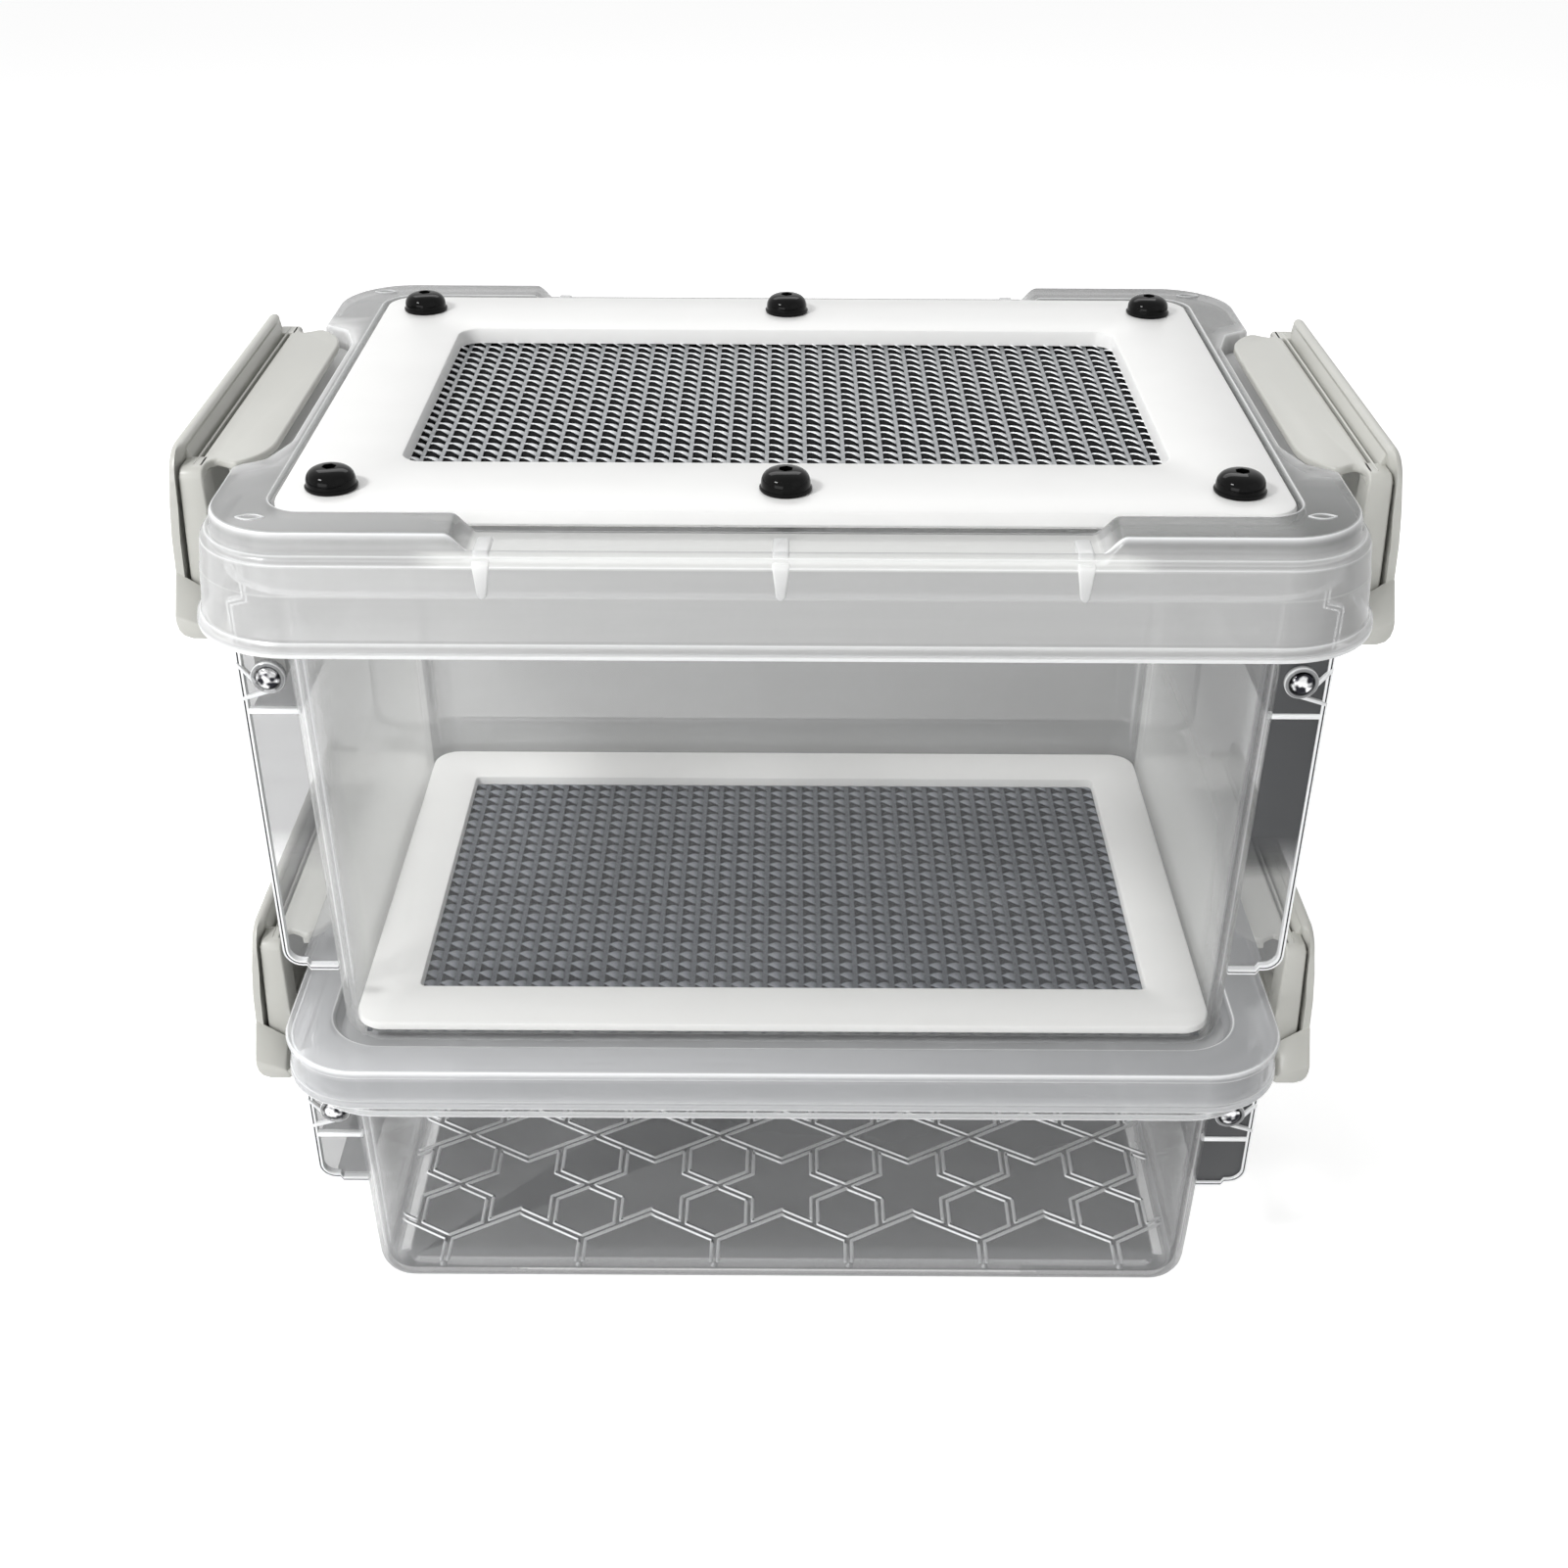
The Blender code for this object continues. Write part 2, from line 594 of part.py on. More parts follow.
def upper_lid_rings():
    """Section of the upper lid from its window out over the ring and down the skirt."""
    ring_x = UPPER_LID_RING_WIDTH / 2
    ring_y = UPPER_LID_RING_DEPTH / 2
    radius = UPPER_LID_RING_RADIUS
    window_x = WINDOW_WIDTH / 2 + LID_WINDOW_MARGIN
    window_y = WINDOW_DEPTH / 2 + LID_WINDOW_MARGIN
    recess_x = PANEL_WIDTH / 2 + PANEL_SIDE_GAP
    recess_y = PANEL_DEPTH / 2 + PANEL_SIDE_GAP
    recess_radius = PANEL_RADIUS + PANEL_SIDE_GAP
    flare = SKIRT_TOP_STEP + SKIRT_FLARE
    lip = flare + LIP_PROUD
    underside = LID_RECESS_Z - LID_SHEET

    def offset(step, z):
        return rounded_loop(ring_x + step, ring_y + step, radius + step, z)

    return [
        rounded_loop(window_x, window_y, WINDOW_RADIUS, LID_RECESS_Z),
        rounded_loop(recess_x, recess_y, recess_radius, LID_RECESS_Z),
        rounded_loop(recess_x, recess_y, recess_radius, LID_RING_Z),
        offset(0, LID_RING_Z),
        offset(SHOULDER_STEP / 4, SHOULDER_Z),
        offset(SHOULDER_STEP, SHOULDER_Z),
        offset(SKIRT_TOP_STEP, LID_RING_Z - SKIRT_TOP_DROP),
        offset(flare, UPPER_SKIRT_Z + LIP_HEIGHT),
        offset(lip, UPPER_SKIRT_Z + LIP_HEIGHT / 2),
        offset(lip, UPPER_SKIRT_Z),
        offset(lip - LID_SHEET, UPPER_SKIRT_Z),
        offset(SKIRT_TOP_STEP - LID_SHEET, underside),
        rounded_loop(window_x, window_y, WINDOW_RADIUS, underside),
    ]


def make_upper_lid(finish):
    """Upper lid with its notches, latch zones, finger ribs and screw holes."""
    item = place("upper_lid", swept_rings("upper_lid", upper_lid_rings(), True), finish)
    outer_x = UPPER_LID_RING_WIDTH / 2
    outer_y = UPPER_LID_RING_DEPTH / 2
    top_half = NOTCH_HALF + NOTCH_SLOPE
    zone_x = LATCH_PLATE_EDGE - LATCH_ZONE_GAP
    knee_x = LATCH_PLATE_EDGE + NIB_WIDTH / 2
    zone_out = outer_x + CUT_OVERRUN
    for end in (-1, 1):
        notch = [
            (-NOTCH_HALF, SHOULDER_Z),
            (NOTCH_HALF, SHOULDER_Z),
            (top_half, LID_RING_Z),
            (top_half, LID_RING_Z + CUT_OVERRUN),
            (-top_half, LID_RING_Z + CUT_OVERRUN),
            (-top_half, LID_RING_Z),
        ]
        near_y = PANEL_DEPTH / 2 - FIT_GAP
        cut(item, prism("notch", notch, end * near_y, end * (outer_y + CUT_OVERRUN), 1))
        near_half = LATCH_PLATE_HALF + LATCH_ZONE_SIDE_GAP
        knee_half = LATCH_STEP_HALF - FIT_GAP
        out_half = LATCH_HALF_LENGTH - LATCH_CHEEK - FIT_GAP
        zone = [
            (zone_x, -near_half),
            (knee_x, -knee_half),
            (zone_out, -out_half),
            (zone_out, out_half),
            (knee_x, knee_half),
            (zone_x, near_half),
        ]
        zone_z = UPPER_PIVOT_Z + LATCH_PLATE_TOP - LATCH_PLATE - LATCH_ZONE_CLEAR
        cut(item, prism("zone", flip_x(zone, end), zone_z, LID_RING_Z + CUT_OVERRUN, 2))
        rib_low = SHOULDER_Z - SKIRT_RIB_HEIGHT
        for column in (-1, 0, 1):
            middle = column * SKIRT_RIB_SPACING
            near = outer_y + SHOULDER_STEP
            far = outer_y + SKIRT_TOP_STEP + SKIRT_FLARE + SKIRT_RIB_PROUD
            half = SKIRT_RIB_WIDTH / 2
            rib = [
                (middle - half, SHOULDER_Z - FIT_GAP),
                (middle - half, rib_low + half),
                (middle, rib_low),
                (middle + half, rib_low + half),
                (middle + half, SHOULDER_Z - FIT_GAP),
            ]
            add(item, prism("rib", rib, end * near, end * far, 1))
    cut_screw_holes(item, LID_RECESS_Z - LID_SHEET, LID_SHEET)
    smooth(item)
    return item


def lower_lid_rings():
    """Section of the lower lid from its opening out over the recess and the band."""
    half_x = BASE_WIDTH / 2
    half_y = BASE_DEPTH / 2
    band_x = RIM_WIDTH / 2 + LOWER_LID_OVER
    band_y = RIM_DEPTH / 2 + LOWER_LID_OVER
    recess = (half_x + RECESS_GAP_SIDE, half_y + RECESS_GAP_FRONT, RECESS_RADIUS)
    opening = (half_x - SEAT_LEDGE_SIDE, half_y - SEAT_LEDGE_FRONT, FLOOR_OPENING_RADIUS)
    underside = LOWER_RECESS_Z - LID_SHEET

    def offset(step, z):
        return rounded_loop(band_x + step, band_y + step, LOWER_LID_RADIUS + step, z)

    return [
        rounded_loop(*opening, LOWER_RECESS_Z),
        rounded_loop(*recess, LOWER_RECESS_Z),
        rounded_loop(*recess, LOWER_BAND_Z),
        offset(-LOWER_SKIRT_INSET, LOWER_BAND_Z),
        offset(0, LOWER_BAND_Z - LOWER_BAND_EDGE / 2),
        offset(-LOWER_SKIRT_INSET, LOWER_BAND_Z - LOWER_BAND_EDGE),
        offset(0, LOWER_SKIRT_Z + LOWER_BAND_EDGE / 2),
        offset(0, LOWER_SKIRT_Z),
        offset(-LID_SHEET, LOWER_SKIRT_Z),
        offset(-LID_SHEET, underside),
        rounded_loop(*opening, underside),
    ]


def make_lower_lid(finish):
    """Lower lid, a seat for the upper box, with a raised latch seat at each short side."""
    item = place("lower_lid", swept_rings("lower_lid", lower_lid_rings(), True), finish)
    seat_top = LOWER_PIVOT_Z + NIB_BOTTOM - SEAT_CLEAR
    for side in (-1, 1):
        xs = sorted((side * (LATCH_PLATE_EDGE + SEAT_SIDE_GAP), side * NIB_X))
        seat_half = LATCH_PLATE_HALF - SEAT_END_GAP
        low = (xs[0], -seat_half, LOWER_BAND_Z - WELD_OVERLAP)
        high = (xs[1], seat_half, seat_top)
        add(item, block(low, high))
    smooth(item)
    return item


def make_mesh(name, width, depth, opening_width, opening_depth, z, finish):
    """A flat net: one sheet of crossing wires inside a plain selvedge."""
    columns = net_lines(width, opening_width, MESH_COLUMNS)
    rows = net_lines(depth, opening_depth, MESH_ROWS)
    shape = bmesh.new()
    levels = []
    for level in (z, z + MESH_THICKNESS):
        levels.append([[shape.verts.new((x, y, level)) for y in rows] for x in columns])
    low, high = levels

    def is_hole(i, j):
        inside = 0 < i < len(columns) - 2 and 0 < j < len(rows) - 2
        return inside and i % 2 == 1 and j % 2 == 1

    def wall(i, j, k, m):
        shape.faces.new((low[i][j], low[k][m], high[k][m], high[i][j]))

    for i in range(len(columns) - 1):
        for j in range(len(rows) - 1):
            square = ((i, j), (i + 1, j), (i + 1, j + 1), (i, j + 1))
            if is_hole(i, j):
                for (a, b), (c, d) in zip(square, square[1:] + square[:1]):
                    wall(a, b, c, d)
                continue
            shape.faces.new([high[a][b] for a, b in square])
            shape.faces.new([low[a][b] for a, b in reversed(square)])
    last_i = len(columns) - 1
    last_j = len(rows) - 1
    for i in range(last_i):
        wall(i, 0, i + 1, 0)
        wall(i, last_j, i + 1, last_j)
    for j in range(last_j):
        wall(0, j, 0, j + 1)
        wall(last_i, j, last_i, j + 1)
    return place(name, mesh_from(shape, name), finish)


def net_lines(size, opening, gaps):
    """Edges of the selvedge and of each gap along one direction of a net."""
    pitch = (opening + WIRE_WIDTH) / gaps
    lines = [-size / 2]
    for gap in range(gaps):
        start = -opening / 2 + gap * pitch
        lines.append(start)
        lines.append(start + pitch - WIRE_WIDTH)
    lines.append(size / 2)
    return lines


def flat_ring(name, outer, inner, low_z, thickness, finish):
    """A flat frame between two rounded outlines."""
    high_z = low_z + thickness
    rings = [
        rounded_loop(*outer, low_z),
        rounded_loop(*outer, high_z),
        rounded_loop(*inner, high_z),
        rounded_loop(*inner, low_z),
    ]
    return place(name, swept_rings(name, rings, True), finish)


def make_panel(finish):
    """White panel with its window and its screw holes."""
    outer = (PANEL_WIDTH / 2, PANEL_DEPTH / 2, PANEL_RADIUS)
    inner = (WINDOW_WIDTH / 2, WINDOW_DEPTH / 2, WINDOW_RADIUS)
    item = flat_ring("lid_panel", outer, inner, PANEL_Z, PANEL_THICKNESS, finish)
    cut_screw_holes(item, PANEL_Z, PANEL_THICKNESS)
    smooth(item)
    return item


def screw_profile():
    """Domed head over a thin flange on a plain shank, from the tail up."""
    tail = LID_RECESS_Z - LID_SHEET - FIT_GAP - NUT_HEIGHT - SCREW_TAIL
    seat = PANEL_TOP_Z + FIT_GAP
    profile = [
        (SCREW_SHANK_RADIUS, tail - seat),
        (SCREW_SHANK_RADIUS, 0),
        (SCREW_HEAD_RADIUS, 0),
        (SCREW_HEAD_RADIUS, SCREW_FLANGE),
    ]
    dome_steps = 3
    dome_radius = SCREW_HEAD_RADIUS - SCREW_FLANGE / 2
    for step in range(dome_steps + 1):
        angle = math.pi / 2 * step / (dome_steps + 1)
        height = SCREW_FLANGE + (SCREW_HEAD_HEIGHT - SCREW_FLANGE) * math.sin(angle)
        profile.append((dome_radius * math.cos(angle), height))
    return profile


def nut_mesh(x, y):
    """Hex nut with a clear bore."""
    bore = SCREW_SHANK_RADIUS + PIN_PLAY
    high_z = LID_RECESS_Z - LID_SHEET - FIT_GAP
    low_z = high_z - NUT_HEIGHT
    across_flats = NUT_RADIUS * math.cos(math.pi / NUT_SIDES)
    levels = (
        (NUT_RADIUS, across_flats, low_z),
        (NUT_RADIUS, across_flats, high_z),
        (bore, bore, high_z),
        (bore, bore, low_z),
    )
    rings = []
    for corner_radius, flat_radius, z in levels:
        loop = []
        for corner in range(NUT_SIDES * 2):
            angle = math.pi * corner / NUT_SIDES
            radius = flat_radius if corner % 2 else corner_radius
            loop.append((x + radius * math.cos(angle), y + radius * math.sin(angle), z))
        rings.append(loop)
    return swept_rings("nut", rings, True)


def make_fasteners(screw_finish, nut_finish):
    """Six screws and their nuts."""
    for number, (x, y) in enumerate(screw_places(), 1):
        seat = (x, y, PANEL_TOP_Z + FIT_GAP)
        screw = turned("screw", screw_profile(), seat, 2)
        smooth(place(f"lid_screw_{number}", screw, screw_finish, seat))
        place(f"lid_nut_{number}", nut_mesh(x, y), nut_finish, (x, y, LID_RECESS_Z - LID_SHEET))


def build():
    """Make every piece, from the ground up."""
    clear_scene()
    clear_plastic = material("clear_plastic", (0.78, 0.81, 0.83), 0.25)
    latch_plastic = material("latch_plastic", (0.58, 0.57, 0.53), 0.42)
    white_plastic = material("white_plastic", (0.92, 0.92, 0.90), 0.40)
    lid_wire = material("lid_wire", (0.55, 0.56, 0.58), 0.35, 0.9)
    floor_wire = material("floor_wire", (0.16, 0.17, 0.20), 0.50, 0.4)
    black_steel = material("black_steel", (0.010, 0.010, 0.012), 0.12, 0.3)
    bright_steel = material("bright_steel", (0.70, 0.70, 0.72), 0.15, 1.0)

    make_box("lower_box", 0, LOWER_BOX_HEIGHT, False, LOWER_EAR_FOOT, LOWER_SKIRT_Z, LOWER_PIVOT_Z,
             clear_plastic)
    make_pins("lower", LOWER_PIVOT_Z, bright_steel)
    make_lower_lid(clear_plastic)
    make_latch("lower_latch_left", -1, LOWER_PIVOT_Z, latch_plastic)
    make_latch("lower_latch_right", 1, LOWER_PIVOT_Z, latch_plastic)

    make_box("upper_box", UPPER_BASE_Z, UPPER_BOX_HEIGHT, True, UPPER_EAR_Z, UPPER_SKIRT_Z, UPPER_PIVOT_Z,
             clear_plastic)
    make_pins("upper", UPPER_PIVOT_Z, bright_steel)
    make_mesh("floor_mesh", FLOOR_MESH_WIDTH, FLOOR_MESH_DEPTH, FRAME_WINDOW_WIDTH, FRAME_WINDOW_DEPTH,
              FLOOR_MESH_Z, floor_wire)
    frame_outer = (FRAME_WIDTH / 2, FRAME_DEPTH / 2, FRAME_RADIUS)
    frame_inner = (FRAME_WINDOW_WIDTH / 2, FRAME_WINDOW_DEPTH / 2, FRAME_WINDOW_RADIUS)
    flat_ring("floor_frame", frame_outer, frame_inner, FRAME_Z, FRAME_THICKNESS, white_plastic)

    make_upper_lid(clear_plastic)
    make_mesh("lid_mesh", LID_MESH_WIDTH, LID_MESH_DEPTH, WINDOW_WIDTH, WINDOW_DEPTH, LID_MESH_Z, lid_wire)
    make_panel(white_plastic)
    make_fasteners(black_steel, bright_steel)
    make_latch("upper_latch_left", -1, UPPER_PIVOT_Z, latch_plastic)
    make_latch("upper_latch_right", 1, UPPER_PIVOT_Z, latch_plastic)


build()
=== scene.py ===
import math

import bmesh
import bpy
import numpy as np
from mathutils import Matrix, Vector


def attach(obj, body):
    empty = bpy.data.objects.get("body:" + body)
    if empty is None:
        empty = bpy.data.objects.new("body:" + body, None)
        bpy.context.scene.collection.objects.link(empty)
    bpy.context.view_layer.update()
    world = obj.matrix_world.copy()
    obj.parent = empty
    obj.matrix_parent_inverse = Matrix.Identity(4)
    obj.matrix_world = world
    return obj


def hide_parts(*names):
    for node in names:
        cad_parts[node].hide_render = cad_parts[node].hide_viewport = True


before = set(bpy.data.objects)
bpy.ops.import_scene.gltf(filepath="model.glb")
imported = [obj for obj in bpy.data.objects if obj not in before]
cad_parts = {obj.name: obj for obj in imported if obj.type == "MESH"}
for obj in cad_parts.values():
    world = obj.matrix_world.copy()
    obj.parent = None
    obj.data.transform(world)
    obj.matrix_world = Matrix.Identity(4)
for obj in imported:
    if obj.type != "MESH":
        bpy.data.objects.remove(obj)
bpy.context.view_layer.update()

# The view. The photograph looks down on the front of the box from a little over half a metre,
# with a mild telephoto lens. The camera's place was solved from the outlines of the lids and boxes.
camera_data = bpy.data.cameras.new("camera")
camera_data.lens = 43.93
camera_data.shift_y = 0.0213
camera = bpy.data.objects.new("camera", camera_data)
bpy.context.collection.objects.link(camera)
LOOK_DOWN = math.radians(31.9)
ROLL = math.radians(0.3)
camera.matrix_world = (
    Matrix.Translation((0, -0.4926, 0.4233))
    @ Matrix.Rotation(math.pi / 2 - LOOK_DOWN, 4, "X")
    @ Matrix.Rotation(ROLL, 4, "Z")
)
bpy.context.scene.camera = camera
bpy.context.scene.view_settings.view_transform = "Standard"


class Value:
    """One value in a node tree, so that a finish or a form can be written as sums."""

    def __init__(self, tree, socket=None):
        self.tree = tree
        self.socket = socket

    def node(self, kind, settings=None, inputs=None, output=0):
        """Add a node: its settings first, then the values or links of its sockets."""
        made = self.tree.nodes.new(kind)
        for name, setting in (settings or {}).items():
            setattr(made, name, setting)
        for name, given in (inputs or {}).items():
            if isinstance(given, Value):
                self.tree.links.new(given.socket, made.inputs[name])
            else:
                made.inputs[name].default_value = given
        return Value(self.tree, made.outputs[output])

    def maths(self, operation, first, second=0.0):
        return self.node("ShaderNodeMath", {"operation": operation}, {0: first, 1: second})

    def mix(self, share, first, second):
        """A colour between two colours."""
        return self.node("ShaderNodeMix", {"data_type": "RGBA"}, {0: share, 6: first, 7: second}, 2)

    def __add__(self, other):
        return self.maths("ADD", self, other)

    def __sub__(self, other):
        return self.maths("SUBTRACT", self, other)

    def __rsub__(self, other):
        return self.maths("SUBTRACT", other, self)

    def __mul__(self, other):
        return self.maths("MULTIPLY", self, other)

    def __truediv__(self, other):
        return self.maths("DIVIDE", self, other)

    def __pow__(self, other):
        return self.maths("POWER", self, other)

    def __gt__(self, other):
        return self.maths("GREATER_THAN", self, other)

    __radd__ = __add__
    __rmul__ = __mul__


def finish(name, constants):
    """A Principled material with its constants on the shader's own sockets, and a pen to add nodes."""
    item = bpy.data.materials.new(name)
    item.use_nodes = True
    shader = item.node_tree.nodes["Principled BSDF"]
    for socket, value in constants.items():
        shader.inputs[socket].default_value = value
    return item, Value(item.node_tree), shader


def feed(shader, socket, value):
    """Link a varying value to one of the shader's sockets."""
    value.tree.links.new(value.socket, shader.inputs[socket])


def shown(pen):
    """1 where a ray from the camera, a reflection or a clear surface meets a surface, else 0."""
    rays = [pen.node("ShaderNodeLightPath", output="Is %s Ray" % kind)
            for kind in ("Camera", "Glossy", "Transmission")]
    return pen.maths("MINIMUM", rays[0] + rays[1] + rays[2], 1.0)


def inward(pen):
    """1 for light that only passes a surface on its way to another one, else 0."""
    rays = [pen.node("ShaderNodeLightPath", output="Is %s Ray" % kind) for kind in ("Shadow", "Diffuse")]
    return pen.maths("MAXIMUM", rays[0], rays[1])


# The floor is a plain pale sheet in a white room. To the camera and in reflections it shows white,
# and it keeps the soft shadow of the box.
FLOOR_HALF = 3.0
floor_mesh = bpy.data.meshes.new("studio_floor")
floor_mesh.from_pydata(
    [(-FLOOR_HALF, -FLOOR_HALF, 0), (FLOOR_HALF, -FLOOR_HALF, 0), (FLOOR_HALF, FLOOR_HALF, 0),
     (-FLOOR_HALF, FLOOR_HALF, 0)], [], [(0, 1, 2, 3)])
studio_floor = bpy.data.objects.new("studio_floor", floor_mesh)
bpy.context.collection.objects.link(studio_floor)
floor_paint, pen, shader = finish("floor_paint", {
    "Base Color": (0.90, 0.90, 0.90, 1), "Roughness": 0.9, "Emission Strength": 1.0,
    "Specular IOR Level": 0.0})
feed(shader, "Emission Color", pen.mix(shown(pen), (0, 0, 0, 1), (0.50, 0.50, 0.50, 1)))
floor_mesh.materials.append(floor_paint)

world = bpy.data.worlds.new("studio")
bpy.context.scene.world = world
world.use_nodes = True
sky = Value(world.node_tree)
background = world.node_tree.nodes["Background"]
facing = sky.node("ShaderNodeSeparateXYZ", inputs={0: sky.node("ShaderNodeTexCoord", output=0)})
ambient = sky.mix(facing * 0.5 + 0.5, (0.76, 0.76, 0.76, 1), (0.24, 0.24, 0.24, 1))
room = sky.mix(shown(sky), ambient, (1, 1, 1, 1))
world.node_tree.links.new(room.socket, background.inputs["Color"])

for name, place, width, height, power in (
    ("key_light", (-0.75, -0.55, 1.05), 0.26, 0.17, 7.4),
    ("fill_light", (0.9, -0.7, 0.8), 0.9, 0.9, 0.5),
    ("front_light", (-0.6, -1.0, 0.35), 0.8, 0.4, 3.0),
    ("back_light", (-0.1, 0.9, 1.1), 1.2, 0.4, 3.8),
):
    light = bpy.data.lights.new(name, "AREA")
    light.shape = "RECTANGLE"
    light.size = width
    light.size_y = height
    light.energy = power
    lamp = bpy.data.objects.new(name, light)
    lamp.location = place
    aim = Vector((0, 0, 0.12)) - Vector(place)
    lamp.rotation_euler = aim.to_track_quat("-Z", "Y").to_euler()
    bpy.context.collection.objects.link(lamp)


# The lower box is a thin injection moulding in clear plastic. Every moulded shell here is drawn as
# rings, one for each corner of its section, and then given its wall.
CORNER_TURNS = 14


def stretch(places, straight):
    """Stations along a straight side, both ways from its middle, drawn in where it is short."""
    share = min(1.0, 0.98 * straight / places[-1])
    return [-share * place for place in reversed(places)] + [share * place for place in places]


def outline(half_x, half_y, radius, along_x, along_y):
    """Plan of a rounded rectangle as an array of X and Y, anticlockwise from the right side."""
    straight_x = half_x - radius
    straight_y = half_y - radius
    ys = stretch(along_y, straight_y)
    xs = stretch(along_x, straight_x)
    sides = (
        ([(half_x, y) for y in ys], (straight_x, straight_y), 0),
        ([(x, half_y) for x in reversed(xs)], (-straight_x, straight_y), 1),
        ([(-half_x, y) for y in reversed(ys)], (-straight_x, -straight_y), 2),
        ([(x, -half_y) for x in xs], (straight_x, -straight_y), 3),
    )
    points = []
    for side, centre, quarter in sides:
        points += side
        for step in range(CORNER_TURNS + 1):
            angle = math.pi / 2 * (quarter + step / CORNER_TURNS)
            points.append((centre[0] + radius * math.cos(angle), centre[1] + radius * math.sin(angle)))
    return np.array(points)


def tidy_normals(mesh):
    """Turn a closed mesh's faces outwards."""
    shape = bmesh.new()
    shape.from_mesh(mesh)
    bmesh.ops.remove_doubles(shape, verts=shape.verts, dist=1e-6)
    bmesh.ops.recalc_face_normals(shape, faces=shape.faces)
    shape.to_mesh(mesh)
    shape.free()


def skin(name, rings, painted_edge_light, closed=False, cap_start=False, cap_end=False):
    """A sheet lofted through rings of X, Y, Z points. Its painted edge light is given for each ring, or for each of
    its points, from 1 for a painted highlight through 0 for plain to -1 for a painted dark line."""
    count = len(rings[0])
    verts = np.concatenate([np.asarray(ring, float) for ring in rings])
    faces = []
    pairs = [(index, index + 1) for index in range(len(rings) - 1)]
    if closed:
        pairs.append((len(rings) - 1, 0))
    for low, high in pairs:
        for point in range(count):
            after = (point + 1) % count
            faces.append((low * count + point, low * count + after, high * count + after, high * count + point))
    if cap_start:
        faces.append(tuple(reversed(range(count))))
    if cap_end:
        faces.append(tuple(range((len(rings) - 1) * count, len(rings) * count)))
    mesh = bpy.data.meshes.new(name)
    mesh.from_pydata(verts.tolist(), [], faces)
    edge = mesh.attributes.new("edge", "FLOAT", "POINT")
    edge.data.foreach_set("value", np.concatenate([np.broadcast_to(share, count) for share in painted_edge_light]))
    item = bpy.data.objects.new(name, mesh)
    bpy.context.collection.objects.link(item)
    return item


def settle(item):
    """Apply an object's modifiers, so that its place and its form are in its mesh."""
    graph = bpy.context.evaluated_depsgraph_get()
    graph.update()
    mesh = bpy.data.meshes.new_from_object(item.evaluated_get(graph))
    item.modifiers.clear()
    item.data = mesh
    return item


def thicken(item, wall):
    """Give a sheet its wall, behind the side that it was drawn on."""
    step = item.modifiers.new("wall", "SOLIDIFY")
    step.thickness = wall
    step.offset = 1
    step.use_even_offset = True
    step.use_quality_normals = True
    settle(item)


def soften(item, width, segments):
    """Round an object's sharp edges."""
    step = item.modifiers.new("soften", "BEVEL")
    step.width = width
    step.segments = segments
    step.limit_method = "ANGLE"
    step.angle_limit = math.radians(30)
    settle(item)


def smooth(item, angle=math.radians(35)):
    item.data.shade_smooth()
    item.data.set_sharp_from_angle(angle=angle)


def join(pieces, name):
    """Join finished shapes into the first one."""
    bpy.ops.object.select_all(action="DESELECT")
    for piece in pieces:
        piece.select_set(True)
    bpy.context.view_layer.objects.active = pieces[0]
    bpy.ops.object.join()
    pieces[0].name = name
    return pieces[0]


def slab(name, outline_points, low, high, axis, round_by, painted_edge_light=0.0, segments=2):
    """A closed plate from an outline of pairs, between two levels of the axis, with soft edges."""
    verts = []
    for level in (low, high):
        for pair in outline_points:
            point = list(pair)
            point.insert(axis, level)
            verts.append(point)
    count = len(outline_points)
    faces = [tuple(range(count)), tuple(reversed(range(count, 2 * count)))]
    for point in range(count):
        after = (point + 1) % count
        faces.append((point, point + count, after + count, after))
    mesh = bpy.data.meshes.new(name)
    mesh.from_pydata(verts, [], faces)
    tidy_normals(mesh)
    edge = mesh.attributes.new("edge", "FLOAT", "POINT")
    edge.data.foreach_set("value", [painted_edge_light] * len(mesh.vertices))
    item = bpy.data.objects.new(name, mesh)
    bpy.context.collection.objects.link(item)
    if round_by:
        soften(item, round_by, segments)
    return item


def set_share(item, name, rule):
    """Give each point of a clear piece its share of hazy density with painted shade, or of painted light, by a rule
    of X, Y and Z.
    """
    places = np.empty(len(item.data.vertices) * 3)
    item.data.vertices.foreach_get("co", places)
    x, y, z = places.reshape(-1, 3).T
    share = item.data.attributes.new(name, "FLOAT", "POINT")
    share.data.foreach_set("value", rule(x, y, z))


def ease(value, low, high):
    """Smooth step from 0 at low to 1 at high."""
    share = np.clip((value - low) / (high - low), 0, 1)
    return share * share * (3 - 2 * share)


